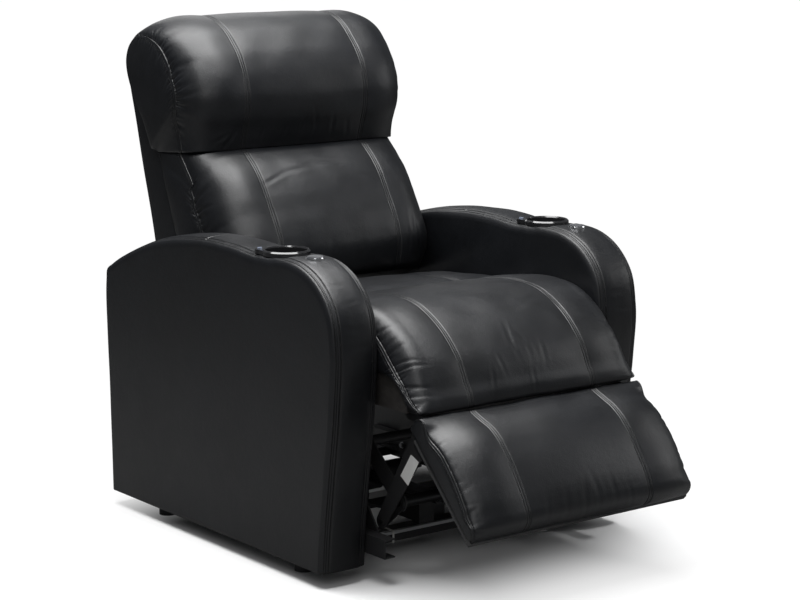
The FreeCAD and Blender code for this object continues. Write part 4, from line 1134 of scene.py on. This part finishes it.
class Sewing:
    """Rows of stitches, gathered for each body and made at the end."""

    PITCH = 6.2 * MM
    LENGTH = 4.4 * MM
    RADIUS = 0.32 * MM

    def __init__(self, finishes: Finishes) -> None:
        self.finishes = finishes
        self.rows: dict[str, list[np.ndarray]] = {}

    def add(self, body: str, rows: list[np.ndarray]) -> None:
        """Keep rows of stitches for a body."""
        self.rows.setdefault(body, []).extend(rows)

    def _tree(self) -> NodeTree:
        """Tree that lays a small cylinder on each step of a row."""
        tree = NodeTree("Stitches", (("Pitch", "NodeSocketFloat"), ("Length", "NodeSocketFloat"),
                                     ("Radius", "NodeSocketFloat"), ("Material", "NodeSocketMaterial")))
        start = tree.start.outputs
        curve = tree.add("GeometryNodeMeshToCurve", {}, {0: start[0]})
        spread = tree.add("GeometryNodeResampleCurve", {"mode": "LENGTH"},
                          {"Curve": curve.outputs[0], "Length": start["Pitch"]})
        stitch = tree.add("GeometryNodeMeshCylinder", {"fill_type": "TRIANGLE_FAN"},
                          {"Vertices": 6, "Radius": start["Radius"], "Depth": start["Length"]})
        tangent = tree.add("GeometryNodeInputTangent", {}, {})
        turn = tree.add("FunctionNodeAlignRotationToVector", {"axis": "Z"}, {"Vector": tangent.outputs[0]})
        slant = tree.add("FunctionNodeRandomValue", {"data_type": "FLOAT_VECTOR"},
                         {"Min": (-0.12, -0.12, 0.0), "Max": (0.12, 0.12, 0.0), "Seed": 5})
        tilt = tree.add("FunctionNodeEulerToRotation", {}, {0: slant.outputs[0]})
        both = tree.add("FunctionNodeRotateRotation", {"rotation_space": "LOCAL"},
                        {0: turn.outputs[0], 1: tilt.outputs[0]})
        placed = tree.add("GeometryNodeInstanceOnPoints", {},
                          {"Points": spread.outputs[0], "Instance": stitch.outputs[0],
                           "Rotation": both.outputs[0]})
        tree.close(placed.outputs[0])
        return tree

    def build(self) -> list[bpy.types.Object]:
        """Make one piece of stitches for each body.

        Returns:
            The pieces.
        """
        tree = self._tree()
        made = []
        for body, rows in self.rows.items():
            points, lines, start = [], [], 0
            for row in rows:
                points += row.tolist()
                lines += [(start + i, start + i + 1) for i in range(len(row) - 1)]
                start += len(row)
            mesh = bpy.data.meshes.new("stitches")
            mesh.from_pydata(points, lines, [])
            values = {"Pitch": self.PITCH, "Length": self.LENGTH, "Radius": self.RADIUS,
                      "Material": self.finishes.get(THREAD)}
            made.append(tree.run(f"stitches_{body}", mesh, values, body))
            LOG.info("stitches of %s: %d rows", body, len(rows))
        return made


@dataclass(frozen=True)
class Bolt:
    """A bolt head at a place, with the way its head faces, in millimetres."""

    place: Point3
    facing: Point3
    across: float = 10.0


class Fasteners:
    """Hexagon heads with washers, for each body one piece."""

    HEAD_SHARE = 0.55

    def __init__(self, finishes: Finishes) -> None:
        self.finishes = finishes
        self.bolts: dict[str, list[Bolt]] = {}

    def add(self, body: str, bolts: list[Bolt]) -> None:
        """Keep bolts for a body."""
        self.bolts.setdefault(body, []).extend(bolts)

    def _tree(self) -> NodeTree:
        """Tree that sets a bolt head with its washer on each point."""
        tree = NodeTree("Bolts", (("Head", "NodeSocketFloat"), ("Material", "NodeSocketMaterial")))
        start = tree.start.outputs
        head = tree.add("GeometryNodeMeshCylinder", {}, {"Vertices": 6, "Radius": 1.0, "Depth": 0.9})
        washer = tree.add("GeometryNodeMeshCylinder", {}, {"Vertices": 24, "Radius": 1.45, "Depth": 0.3})
        lifted = tree.add("GeometryNodeTransform", {}, {0: head.outputs[0], "Translation": (0, 0, 0.75)})
        based = tree.add("GeometryNodeTransform", {}, {0: washer.outputs[0], "Translation": (0, 0, 0.15)})
        joined = tree.add("GeometryNodeJoinGeometry", {}, {})
        for part in (lifted, based):
            tree.group.links.new(part.outputs[0], joined.inputs[0])
        normal = tree.add("GeometryNodeInputNamedAttribute", {"data_type": "FLOAT_VECTOR"},
                          {"Name": "facing"})
        wide = tree.add("GeometryNodeInputNamedAttribute", {"data_type": "FLOAT"}, {"Name": "across"})
        scale = tree.add("ShaderNodeMath", {"operation": "MULTIPLY"}, {0: wide.outputs[0], 1: start["Head"]})
        turn = tree.add("FunctionNodeAlignRotationToVector", {"axis": "Z"}, {"Vector": normal.outputs[0]})
        placed = tree.add("GeometryNodeInstanceOnPoints", {},
                          {"Points": start[0], "Instance": joined.outputs[0], "Rotation": turn.outputs[0],
                           "Scale": scale.outputs[0]})
        real = tree.add("GeometryNodeRealizeInstances", {}, {0: placed.outputs[0]})
        painted = tree.add("GeometryNodeSetMaterial", {}, {0: real.outputs[0], "Material": start["Material"]})
        tree.group.links.new(painted.outputs[0], tree.end.inputs[0])
        return tree

    def build(self) -> list[bpy.types.Object]:
        """Make one piece of bolts for each body.

        Returns:
            The pieces.
        """
        tree = self._tree()
        made = []
        for body, bolts in self.bolts.items():
            mesh = bpy.data.meshes.new("bolts")
            mesh.from_pydata([[c * MM for c in bolt.place] for bolt in bolts], [], [])
            facing = mesh.attributes.new("facing", "FLOAT_VECTOR", "POINT")
            facing.data.foreach_set("vector", [c for bolt in bolts for c in bolt.facing])
            across = mesh.attributes.new("across", "FLOAT", "POINT")
            across.data.foreach_set("value", [bolt.across * MM for bolt in bolts])
            values = {"Head": self.HEAD_SHARE, "Material": self.finishes.get(ZINC)}
            made.append(tree.run(f"bolts_{body}", mesh, values, body))
        return made


# Sizes of the forms, in millimetres

ARM_LINE = (
    (-283.6, 34.0, 1), (-292.0, 130.0, 1), (-304.0, 223.0, 1), (-324.0, 380.0, 1), (-330.0, 504.0, 1),
    (-315.0, 575.0, 1), (-271.0, 625.0, 1), (-215.0, 652.0, 1), (-146.0, 659.5, 1), (-90.0, 656.5, 1),
    (-34.0, 656.0, 1), (20.0, 661.5, 1), (75.0, 664.0, 1), (200.0, 659.0, 1), (320.0, 641.0, 1),
    (444.0, 602.0, 1), (532.0, 561.0, 1), (553.0, 548.0, 1), (557.0, 525.0, 1), (554.0, 290.0, 1),
    (549.6, 34.0, 1),
)
FRONT_PAD = (
    (-430.0, 372.6, 0.0), (-446.0, 373.4, 0.05), (-457.5, 378.5, 0.12), (-455.5, 398.0, 0.44),
    (-443.0, 421.0, 0.63), (-432.0, 445.0, 0.8),
    (-418.0, 468.0, 0.95), (-400.0, 489.0, 1.0), (-379.0, 509.0, 1.0), (-355.0, 527.0, 0.9),
    (-328.0, 543.0, 0.8), (-306.0, 553.0, 0.7), (-282.0, 561.0, 0.6), (-256.0, 565.5, 0.5),
    (-228.0, 567.0, 0.45), (-160.0, 564.0, 0.4), (-95.0, 553.0, 0.4), (-58.0, 545.0, 0.4),
    (-38.0, 529.0, 0.4),
)
FRONT_PAD_BACK = (
    (-409.0, 378.0, 0, 0), (-409.0, 442.0, 0, -0.85), (-408.0, 443.0, 0.85, 0), (-38.0, 443.0, 0, 0),
)
REAR_DECK = (
    (-37.5, 523.0, 0.8), (-29.0, 533.0, 1.0), (-10.0, 537.0, 1.0), (90.0, 532.0, 1.0),
    (190.0, 523.0, 1.0), (232.0, 513.0, 1.0), (252.0, 490.0, 0.6),
)
BACK_PAD = (
    (236.0, 527.0, 0.8), (214.0, 545.0, 0.9), (203.0, 580.0, 1.0), (202.5, 605.0, 1.0),
    (209.0, 629.0, 1.0), (224.0, 660.0, 1.0), (243.0, 692.0, 1.0), (262.0, 726.0, 1.0),
    (283.0, 757.0, 1.0), (305.0, 781.0, 0.9), (329.0, 801.0, 0.8), (343.0, 811.0, 0.7),
    (359.0, 817.5, 0.7),
)
HEAD_ROLL = (
    (359.0, 818.4, 0.7), (352.0, 842.0, 0.9), (345.0, 866.0, 1.0), (337.0, 890.0, 1.0),
    (333.0, 915.0, 1.0), (332.0, 940.0, 1.0), (336.0, 964.0, 1.0), (343.0, 987.0, 1.0),
    (353.0, 1008.0, 1.0), (367.0, 1030.0, 1.0), (386.0, 1051.0, 0.9), (420.0, 1081.0, 0.8),
    (462.0, 1101.0, 0.7), (512.0, 1109.0, 0.6), (560.0, 1101.0, 0.45), (598.0, 1077.0, 0.25),
    (620.0, 1041.0, 0.1), (626.0, 1008.0, 0.05), (617.0, 976.0, 0.05), (603.0, 960.0, 0.05),
    (588.0, 949.5, 0.05),
)
HINGE = (-455.0, 357.0)
FOOTREST_TILT = math.radians(45.7)
FOOTREST_FACE = (
    (255, -28, 0.1), (258, -14, 0.2), (256, 0, 0.4), (251, 11, 0.6), (241, 19, 0.8), (225, 26, 1),
    (207, 32, 1), (183, 37, 1), (159, 41, 1), (132, 44.5, 1), (105, 46, 1), (77, 45, 1), (51, 39, 1),
    (26, 27, 0.8), (0, 15.3, 0), (-10.8, 10.8, 0), (-15.3, 0, 0),
)
CHANNEL = 162.0
ARM_MIDDLE = 351.0
BAND_SEAM = 43.7


def on_footrest(along: float, outward: float) -> Point2:
    """Side-plane place of a point along the footrest and outward from its hinge."""
    cos, sin = math.cos(FOOTREST_TILT), math.sin(FOOTREST_TILT)
    return (HINGE[0] - along * cos - outward * sin, HINGE[1] - along * sin + outward * cos)


# Sub-assemblies


@dataclass
class Shop:
    """What every sub-assembly works with."""

    finishes: Finishes
    sewing: Sewing
    fasteners: Fasteners

    def place_soft(self, form: SoftForm, body: str, nodes: tuple[str, ...], fill: float | None) -> None:
        """Build a soft form, let it ride on its body and stand for its CAD nodes.

        Args:
            form: The soft form.
            body: CAD body.
            nodes: CAD nodes that it stands for.
            fill: Not used.
        """
        made = form.build(self.finishes.get(LEATHER))
        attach(made, body)
        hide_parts(*nodes)
        self.sewing.add(body, form.stitch_rows())
        LOG.info("%s: %d points", form.name, len(form.mesh.points))


@dataclass
class SeatCushions:
    """Front pad and rear deck of the seat."""

    shop: Shop

    def build(self) -> None:
        """Make both cushions."""
        folds = (Fold(150, -18, 4, 46, 5, 1.3, 6), Fold(138, 14, -6, 40, 5, 1.0, -5),
                 Fold(120, 52, 8, 38, 5, 0.9), Fold(110, -66, -9, 34, 4, 0.9), Fold(60, 8, 3, 26, 4, 0.7),
                 Fold(74, -96, 12, 30, 4, 0.8), Fold(250, 96, 70, 60, 9, 1.0))
        pad = SoftForm("front_pad", Profile(FRONT_PAD, FRONT_PAD_BACK),
                       Rim(((0, 0), (90, 0.3), (174, 1), (235, 7), (267, 12), (283, 30), (291, 46)),
                           (CHANNEL,), 4.5),
                       seed=11, folds=folds, pressure=4.0,
                       tuck=(9.0, 0.0, 34.0), cap_bulge=5.0,
                       gathers=(Gathers(15, (26, 90), (1.5, 3.8), 3, (0.02, 0.52)),
                                Gathers(24, (16, 46), (0.9, 2.4), 4, (0.5, 1.0))))
        self.shop.place_soft(pad, "base", ("seat_front_pad",), 0.8)
        deck = SoftForm("seat_deck_cushion", Profile(REAR_DECK, ((-37.5, 443, 0, 0), (252, 443, 0, 0))),
                        Rim(((0, 0), (90, 0.3), (174, 1), (235, 7), (281, 9), (291, 16)), (CHANNEL,), 3.0),
                        seed=12, pressure=3.0,
                        folds=(Fold(60, 40, 80, 60, 8, 0.9), Fold(180, -70, 95, 50, 8, 0.9)),
                        gathers=(Gathers(26, (16, 44), (0.8, 2.0), 5),))
        self.shop.place_soft(deck, "base", ("seat_deck",), 0.7)


@dataclass
class BackCushions:
    """Back cushion and headrest roll."""

    shop: Shop

    def build(self) -> None:
        """Make the back cushion and the headrest."""
        folds = (Fold(120, 205, 4, 46, 5, 1.6, 8), Fold(96, 222, -5, 40, 5, 1.5, -6),
                 Fold(88, 190, 3, 34, 4, 1.2), Fold(280, -60, 84, 55, 6, 1.3),
                 Fold(292, 40, 96, 60, 6, 1.2), Fold(262, -130, 70, 38, 5, 1.2),
                 Fold(250, 120, 108, 36, 5, 1.0), Fold(70, -30, 6, 40, 7, 1.0), Fold(64, 60, -4, 40, 7, 1.0))
        back = SoftForm("back_cushion_leather",
                        Profile(BACK_PAD, ((383.5, 481, 0, 0), (447, 641, 0, 0), (506, 790.5, 0, 0),
                                           (514.5, 805.8, 0, 0))),
                        Rim(((0, 0), (90, 0.3), (174, 1), (232, 11), (262, 32), (281, 64), (288, 104)),
                            (CHANNEL,), 5.0),
                        seed=21, folds=folds, pressure=4.0,
                        tuck=(6.0, 5.0, 30.0), cap_bulge=6.0,
                        gathers=(Gathers(28, (44, 115), (1.8, 4.2), 6), Gathers(13, (18, 44), (1.0, 2.4), 7)))
        self.shop.place_soft(back, "back", ("back_cushion",), 0.8)
        folds = (Fold(40, -12, 3, 34, 5, 1.4, 5), Fold(52, 26, -5, 38, 5, 1.3, -6),
                 Fold(36, -58, 8, 30, 5, 1.1),
                 Fold(44, 74, -3, 30, 5, 1.1), Fold(30, -118, 10, 24, 4, 1.0), Fold(22, -205, 35, 30, 5, 1.6),
                 Fold(30, -222, 60, 26, 4, 1.3), Fold(34, 118, -10, 26, 5, 1.0))
        head = SoftForm("headrest_roll",
                        Profile(HEAD_ROLL, ((514.5, 806.6, 0, 0), (532, 838, 0, 0), (560.5, 893, 0, 0))),
                        Rim(((0, 0), (90, 0.3), (174, 1), (240, 10), (276, 30), (296, 58), (302, 84)),
                            (CHANNEL,), 5.0),
                        seed=22, folds=folds, pressure=4.0,
                        tuck=(16.0, 0.0, 42.0), cap_bulge=9.0,
                        gathers=(Gathers(15, (18, 50), (1.8, 4.4), 8, (0.0, 0.8)),
                                 Gathers(40, (34, 100), (1.2, 2.8), 9, (0.05, 0.6))))
        self.shop.place_soft(head, "back", ("headrest",), 0.85)


@dataclass
class OuterBack:
    """Leather over the side boards and the rear of the back."""

    shop: Shop

    def build(self) -> None:
        """Make the two side panels and the rear panel."""
        front = ((384.5, 481.0, 1), (416.0, 560.0, 1), (448.0, 641.0, 1), (478.0, 716.0, 1),
                 (507.0, 790.5, 1), (515.5, 806.2, 1), (533.0, 837.5, 1), (561.5, 892.5, 1),
                 (589.0, 949.0, 1))
        rear = ((492.4, 450.0, 0, 0), (539.0, 617.0, 0, 0), (585.0, 784.0, 0, 0), (630.9, 950.4, 0, 0))
        for side in Side:
            panel = SoftForm(f"outer_back_{side.label}", Profile(front, rear),
                             Rim(((0, 0), (5, 0.0), (8.5, 1.0), (11, 3.6)), (), 0.6, False),
                             seed=31 + side.value, centre_x=side.value * 273.0, step=5.0,
                             cap_bulge=2.2, swell=0.5,
                             rows=(0.0, 0.03, 0.07, 0.12, 0.2, 0.3, 0.4, 0.5, 0.6, 0.7, 0.8, 0.88,
                                   0.94, 0.97, 1.0))
            self.shop.place_soft(panel, "back", (f"back_board_{side.label}",), None)
        skin = SoftForm("rear_panel_leather",
                        Profile(((638.9, 950.4, 1), (604.3, 825.3, 1), (569.6, 700.2, 1), (535.0, 575.1, 1),
                                 (500.4, 450.0, 1)),
                                ((630.9, 950.4, 0, 0), (596.2, 825.3, 0, 0), (561.6, 700.2, 0, 0),
                                 (527.0, 575.1, 0, 0), (492.4, 450.0, 0, 0))),
                        Rim(((0, 0), (200, 0.2), (262, 0.4), (278, 1.2), (284, 4.5)), (262.0,), 1.2, False),
                        seed=34, step=9.0, swell=0.8, rows=(0.0, 0.25, 0.5, 0.75, 1.0), cap_bulge=0.5,
                        folds=(Fold(120, -80, 80, 90, 12, 0.9), Fold(330, 60, 100, 110, 14, 0.9)))
        self.shop.place_soft(skin, "back", ("back_panel",), None)


@dataclass
class Footrest:
    """Cushion of the footrest, its end rounded about the hinge."""

    shop: Shop

    def build(self) -> None:
        """Make the footrest's cushion."""
        soft = tuple((*on_footrest(along, outward), share) for along, outward, share in FOOTREST_FACE)
        start = on_footrest(255, -28)
        corner = on_footrest(-12, -28)
        folds = (Fold(60, -14, 4, 42, 6, 0.8, 5), Fold(72, 20, -6, 44, 6, 0.8, -5),
                 Fold(56, -62, 7, 36, 6, 0.6), Fold(66, 64, -6, 34, 6, 0.7),
                 Fold(48, 108, -10, 30, 5, 0.6), Fold(54, -112, 9, 30, 5, 0.5))
        form = SoftForm("footrest_leather", Profile(soft, ((*start, 0, 0), (*corner, 0, 0))),
                        Rim(((0, 0), (90, 0.3), (174, 1), (240, 6), (272, 14), (287, 22), (291, 30)),
                            (CHANNEL,), 4.0), seed=41, folds=folds, pressure=4.0,
                        tuck=(5.0, 0.0, 16.0),
                        gathers=(Gathers(20, (14, 48), (1.0, 2.8), 10, (0.06, 0.9)),))
        self.shop.place_soft(form, "footrest", ("footrest_cushion",), 0.75)


@dataclass
class Arm:
    """Leather cover of one arm, drawn down round its cup holder, with its seams."""

    shop: Shop
    side: Side
    CUP_Y: ClassVar[float] = -89.0
    CROSS_SEAM_Y: ClassVar[float] = 149.3
    HOLE: ClassVar[float] = 46.8
    RIM_WIDTH: ClassVar[float] = 4.5
    PRESS_START: ClassVar[float] = 74.0
    PRESS_WIDTH: ClassVar[float] = 22.0
    PRESSED_TOP: ClassVar[float] = 0.6566
    TOP_ABOVE: ClassVar[float] = 0.6
    RIPPLE: ClassVar[float] = 0.9
    RIPPLE_AT: ClassVar[float] = 60.0
    RIPPLE_WIDTH: ClassVar[float] = 9.0

    def _dimple(self, form: SoftForm) -> None:
        """Draw the leather down round the cup's flange, and open the well."""
        mesh = form.mesh
        points = mesh.points
        away = np.hypot(points[:, 0] - form.centre_x * MM, points[:, 1] - self.CUP_Y * MM) / MM
        top = points[:, 2] > self.TOP_ABOVE
        angle = np.arctan2(points[:, 1] - self.CUP_Y * MM, points[:, 0] - form.centre_x * MM)
        press = np.clip((self.PRESS_START - away) / self.PRESS_WIDTH, 0, 1)
        press = press * press * (3 - 2 * press)
        goal = np.minimum(points[:, 2], self.PRESSED_TOP)
        ring = np.exp(-(((away - self.RIPPLE_AT) / self.RIPPLE_WIDTH) ** 2))
        ripple = self.RIPPLE * MM * np.sin(9 * angle + 1.3 * np.sin(3 * angle)) * ring
        lifted = points[:, 2] * (1 - press) + goal * press + ripple
        points[:, 2] = np.where(top, lifted, points[:, 2])
        inside = top & (away < self.HOLE)
        mesh.faces = [face for face in mesh.faces if not any(inside[v] for v in face)]
        rim = top & (away >= self.HOLE) & (away < self.HOLE + self.RIM_WIDTH)
        border = np.zeros(len(points), bool)
        used: dict[tuple[int, int], int] = {}
        for face in mesh.faces:
            for a, b in zip(face, face[1:] + face[:1]):
                key = (min(a, b), max(a, b))
                used[key] = used.get(key, 0) + 1
        for (a, b), count in used.items():
            if count == 1 and top[a]:
                border[a] = border[b] = True
        snap = border & rim
        for column, centre in ((0, form.centre_x * MM), (1, self.CUP_Y * MM)):
            scale = self.HOLE / away[snap]
            points[snap, column] = centre + (points[snap, column] - centre) * scale

    def build(self) -> None:
        """Make the cover."""
        side = self.side
        name = f"arm_{side.label}_leather"
        knots = chord_knots(np.array([p[:2] for p in ARM_LINE]))
        cross = float(np.interp(self.CROSS_SEAM_Y, [p[0] for p in ARM_LINE[8:14]], knots[8:14]))
        form = SoftForm(name, Profile(ARM_LINE),
                        Rim(((0, -4.2), (22, -3.9), (36, -2.4), (BAND_SEAM, 0.2), (49, 1.2),
                             (53.6, 4.6), (57, 11)),
                            (BAND_SEAM,), 0.6, False),
                        seed=50 + side.value, centre_x=side.value * ARM_MIDDLE, step=7.0, marks=(cross,),
                        swell=0.6, cap_swell=0.25, cap_bulge=1.2,
                        rows=tuple(np.linspace(0, 1, 40)),
                        folds=(Fold(560, 10, 84, 26, 4, 0.8), Fold(600, -14, 100, 24, 4, 0.7),
                               Fold(470, 8, 88, 26, 5, 0.7), Fold(505, -10, 94, 26, 5, 0.6)))
        near = form.shape()
        self._dimple(form)
        made = form.mesh.to_object(name, near, self.shop.finishes.get(LEATHER))
        loose = bmesh.new()
        loose.from_mesh(made.data)
        bmesh.ops.delete(loose, geom=[v for v in loose.verts if not v.link_faces], context="VERTS")
        loose.to_mesh(made.data)
        loose.free()
        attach(made, "base")
        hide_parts(f"arm_{side.label}_cover")
        form.mesh.return_to_sheets()
        self.shop.sewing.add("base", form.stitch_rows())
        LOG.info("%s: %d points", name, len(form.mesh.points))


@dataclass
class Mechanism:
    """Small fittings of the frame: bolts, ties, the bare edge of the rail and the blank sticker."""

    shop: Shop
    SLAB: ClassVar[list[tuple[int, ...]]] = [(0, 1, 2, 3), (7, 6, 5, 4), (0, 4, 5, 1), (1, 5, 6, 2),
                                             (2, 6, 7, 3), (3, 7, 4, 0)]
    PLATE_FACE: ClassVar[float] = 263.0
    BRACKET_X: ClassVar[float] = 243.0
    LINK_FACE: ClassVar[float] = -253.5
    RAIL_LOW: ClassVar[float] = 38.0
    RAIL_TOP: ClassVar[float] = 60.0
    RAIL_FRONT: ClassVar[float] = -194.0
    RAIL_REAR: ClassVar[float] = -150.0
    RAIL_HALF: ClassVar[float] = 262.0
    TIE_PLACES: ClassVar[Point2] = (-222.0, -158.0)
    TIE_HALF: ClassVar[float] = 2.0
    TIE_GAPS: ClassVar[Point2] = (1.0, 2.6)

    def build(self) -> None:
        """Make the fittings."""
        bolts = []
        for side in Side:
            x = side.value * self.PLATE_FACE
            face = (-side.value, 0.0, 0.0)
            bolts += [Bolt((x, y, 80.0), face) for y in (-262.0, -170.0, 262.0, 324.0)]
            bolts += [Bolt((x, y, 392.0), face, 9.0) for y in (-215.0, 280.0)]
        self.shop.fasteners.add("base", bolts)
        brackets = []
        for side in Side:
            for along in (34.0, 66.0, 96.0):
                y, z = on_footrest(along, -44.0)
                rear = on_footrest(along, -50.0)
                way = (rear[0] - y, rear[1] - z)
                span = math.hypot(*way)
                facing = (0.0, way[0] / span, way[1] / span)
                brackets.append(Bolt((side.value * self.BRACKET_X, y, z), facing, 8.0))
        self.shop.fasteners.add("footrest", brackets)
        self._sticker()
        self._rail_edge()
        for number, x in enumerate(self.TIE_PLACES):
            self._tie(number, x)

    def _solid(self, name: str, points: list[Point3], faces: list[tuple[int, ...]], finish: Coated | Metal,
               body: str) -> None:
        """Make one small closed solid from points in millimetres."""
        mesh = bpy.data.meshes.new(name)
        mesh.from_pydata([tuple(c * MM for c in point) for point in points], [], faces)
        mesh.materials.append(self.shop.finishes.get(finish))
        made = bpy.data.objects.new(name, mesh)
        bpy.context.scene.collection.objects.link(made)
        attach(made, body)

    def _sticker(self) -> None:
        """Blank paper label on the outer face of the left wide link."""
        outline = ((-406.5, 268.8), (-380.6, 279.4), (-346.0, 228.5), (-371.0, 213.1))
        points = [(self.LINK_FACE - lift, y, z) for lift in (0.05, 0.3) for y, z in outline]
        self._solid("blank_sticker", points, self.SLAB, PAPER, "link_left")

    def _rail_edge(self) -> None:
        """Bare upper edge of the front cross rail."""
        front, top = self.RAIL_FRONT, self.RAIL_TOP
        section = ((front - 0.6, top - 6.0), (front - 0.6, top + 0.6),
                   (front + 9.0, top + 0.6), (front + 9.0, top))
        edge = [(x, y, z) for x in (-self.RAIL_HALF, self.RAIL_HALF) for y, z in section]
        self._solid("bare_rail_edge", edge, self.SLAB, STEEL_EDGE, "base")

    def _tie(self, number: int, x: float) -> None:
        """Cable tie round the front cross rail."""
        low, high, front, rear = self.RAIL_LOW, self.RAIL_TOP, self.RAIL_FRONT, self.RAIL_REAR
        rings = [(x + shift, y, z) for shift in (-self.TIE_HALF, self.TIE_HALF) for gap in self.TIE_GAPS
                 for y, z in ((front - gap, low - gap), (front - gap, high + gap),
                              (rear + gap, high + gap), (rear + gap, low - gap))]
        faces = []
        for i in range(4):
            j = (i + 1) % 4
            faces += [(i, j, 4 + j, 4 + i), (8 + i, 12 + i, 12 + j, 8 + j), (4 + i, 4 + j, 12 + j, 12 + i),
                      (i, 8 + i, 8 + j, j)]
        self._solid(f"cable_tie_{number}", rings, faces, TIE, "base")


# Studio


@dataclass(frozen=True)
class Lamp:
    """Square soft box, aimed at a place."""

    name: str
    place: Point3
    aim: Point3
    size: float
    power: float

    def build(self) -> None:
        """Hang the lamp."""
        data = bpy.data.lights.new(self.name, "AREA")
        data.shape, data.size, data.energy = "SQUARE", self.size, self.power
        lamp = bpy.data.objects.new(self.name, data)
        lamp.location = self.place
        way = Vector(self.aim) - Vector(self.place)
        lamp.rotation_euler = way.to_track_quat("-Z", "Y").to_euler()
        bpy.context.scene.collection.objects.link(lamp)


LAMPS = (
    Lamp("overhead", (-0.3, 0.1, 3.2), (0, 0.05, 0.5), 2.8, 235.0),
    Lamp("key", (-2.6, -3.3, 2.7), (0, -0.1, 0.6), 2.3, 32.0),
    Lamp("right_fill", (3.6, -1.8, 2.0), (0, 0, 0.6), 1.8, 24.0),
    Lamp("rim", (1.4, 3.2, 2.6), (0, 0.3, 0.9), 1.6, 14.0),
)


@dataclass(frozen=True)
class Studio:
    """Camera at the photo's angle, white room, soft lights and the floor."""

    eye: Point3 = (-2.9211, -3.8459, 1.3963)
    yaw: float = 37.3
    pitch: float = -10.4
    lens: float = 101.35
    FADE: ClassVar[Point2] = (0.9, 1.9)
    SHADED: ClassVar[Point2] = (0.36, 0.3)
    SHADE_WIDTH: ClassVar[float] = 0.34
    NEAR_GLOW: ClassVar[float] = 0.78
    FAR_GLOW: ClassVar[float] = 0.22
    FLOOR_REACH: ClassVar[float] = 30.0
    ROOM_SHADE: ClassVar[Point3] = (0.93, 0.96, 1.0)
    ROOM_LIGHT: ClassVar[float] = 0.1

    def build(self) -> None:
        """Set up the studio."""
        scene = bpy.context.scene
        scene.view_settings.view_transform = "Standard"
        camera = bpy.data.cameras.new("photo_camera")
        camera.lens, camera.sensor_width = self.lens, 36.0
        camera.clip_end = 100.0
        eye = bpy.data.objects.new("photo_camera", camera)
        eye.location = self.eye
        eye.rotation_euler = Euler((math.radians(90 + self.pitch), 0, math.radians(-self.yaw)))
        scene.collection.objects.link(eye)
        scene.camera = eye
        self._world(scene)
        self._floor(scene)
        for lamp in LAMPS:
            lamp.build()

    def _world(self, scene: bpy.types.Scene) -> None:
        """White room for the camera, dim and slightly blue for everything else."""
        world = bpy.data.worlds.new("white_room")
        scene.world = world
        world.use_nodes = True
        tree = world.node_tree
        tree.nodes.clear()
        path = tree.nodes.new("ShaderNodeLightPath")
        seen = tree.nodes.new("ShaderNodeBackground")
        seen.inputs[0].default_value = (1, 1, 1, 1)
        seen.inputs[1].default_value = 1.0
        lit = tree.nodes.new("ShaderNodeBackground")
        lit.inputs[0].default_value = opaque(self.ROOM_SHADE)
        lit.inputs[1].default_value = self.ROOM_LIGHT
        mix = tree.nodes.new("ShaderNodeMixShader")
        out = tree.nodes.new("ShaderNodeOutputWorld")
        tree.links.new(path.outputs["Is Camera Ray"], mix.inputs[0])
        tree.links.new(lit.outputs[0], mix.inputs[1])
        tree.links.new(seen.outputs[0], mix.inputs[2])
        tree.links.new(mix.outputs[0], out.inputs[0])

    def _floor(self, scene: bpy.types.Scene) -> None:
        """Pale floor that keeps the shadow near the seat and fades to white away from it."""
        mesh = bpy.data.meshes.new("floor")
        reach = self.FLOOR_REACH
        corners = [(-reach, -reach, 0), (reach, -reach, 0), (reach, reach, 0), (-reach, reach, 0)]
        mesh.from_pydata(corners, [], [(0, 1, 2, 3)])
        floor = bpy.data.objects.new("floor", mesh)
        scene.collection.objects.link(floor)
        g = Graph("pale_floor")
        away = g.make("ShaderNodeVectorMath", {"operation": "LENGTH"}, {0: g.place()}, "Value")
        flat = g.make("ShaderNodeVectorMath", {"operation": "ABSOLUTE"}, {0: g.place()}, 0)
        past = [g.make("ShaderNodeSeparateXYZ", {}, {0: flat}, axis) - half
                for axis, half in enumerate(self.SHADED)]
        clear = g.make("ShaderNodeMath", {"operation": "MAXIMUM"}, {0: past[0], 1: past[1]})
        beside = clear.between(0.0, self.SHADE_WIDTH) * self.NEAR_GLOW
        share = beside + away.between(*self.FADE) * self.FAR_GLOW
        white = g.make("ShaderNodeBsdfDiffuse", {}, {"Color": opaque((0.87, 0.87, 0.87))})
        glow = g.make("ShaderNodeEmission", {}, {"Color": opaque((1.0, 1.0, 1.0)), "Strength": 1.02})
        seen = g.make("ShaderNodeMixShader", {}, {0: share, 1: white, 2: glow})
        dim = g.make("ShaderNodeBsdfDiffuse", {}, {"Color": opaque((0.2, 0.2, 0.2))})
        camera = g.make("ShaderNodeLightPath", {}, {}, "Is Camera Ray")
        g.output(g.make("ShaderNodeMixShader", {}, {0: camera, 1: dim, 2: seen}))
        mesh.materials.append(g.material)


def main() -> None:
    """Build every sub-assembly in order and log what was made."""
    logging.basicConfig(level=logging.INFO, format="%(name)s: %(message)s")
    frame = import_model()
    finishes = Finishes()
    finishes.dress_frame(frame["nodes"])
    shop = Shop(finishes, Sewing(finishes), Fasteners(finishes))
    for assembly in (SeatCushions(shop), BackCushions(shop), OuterBack(shop), Footrest(shop),
                     Arm(shop, Side.LEFT), Arm(shop, Side.RIGHT), Mechanism(shop)):
        assembly.build()
    stitched = shop.sewing.build()
    bolted = shop.fasteners.build()
    LOG.info("%d stitched and %d bolted pieces", len(stitched), len(bolted))
    Studio().build()


if __name__ == "__main__":
    main()
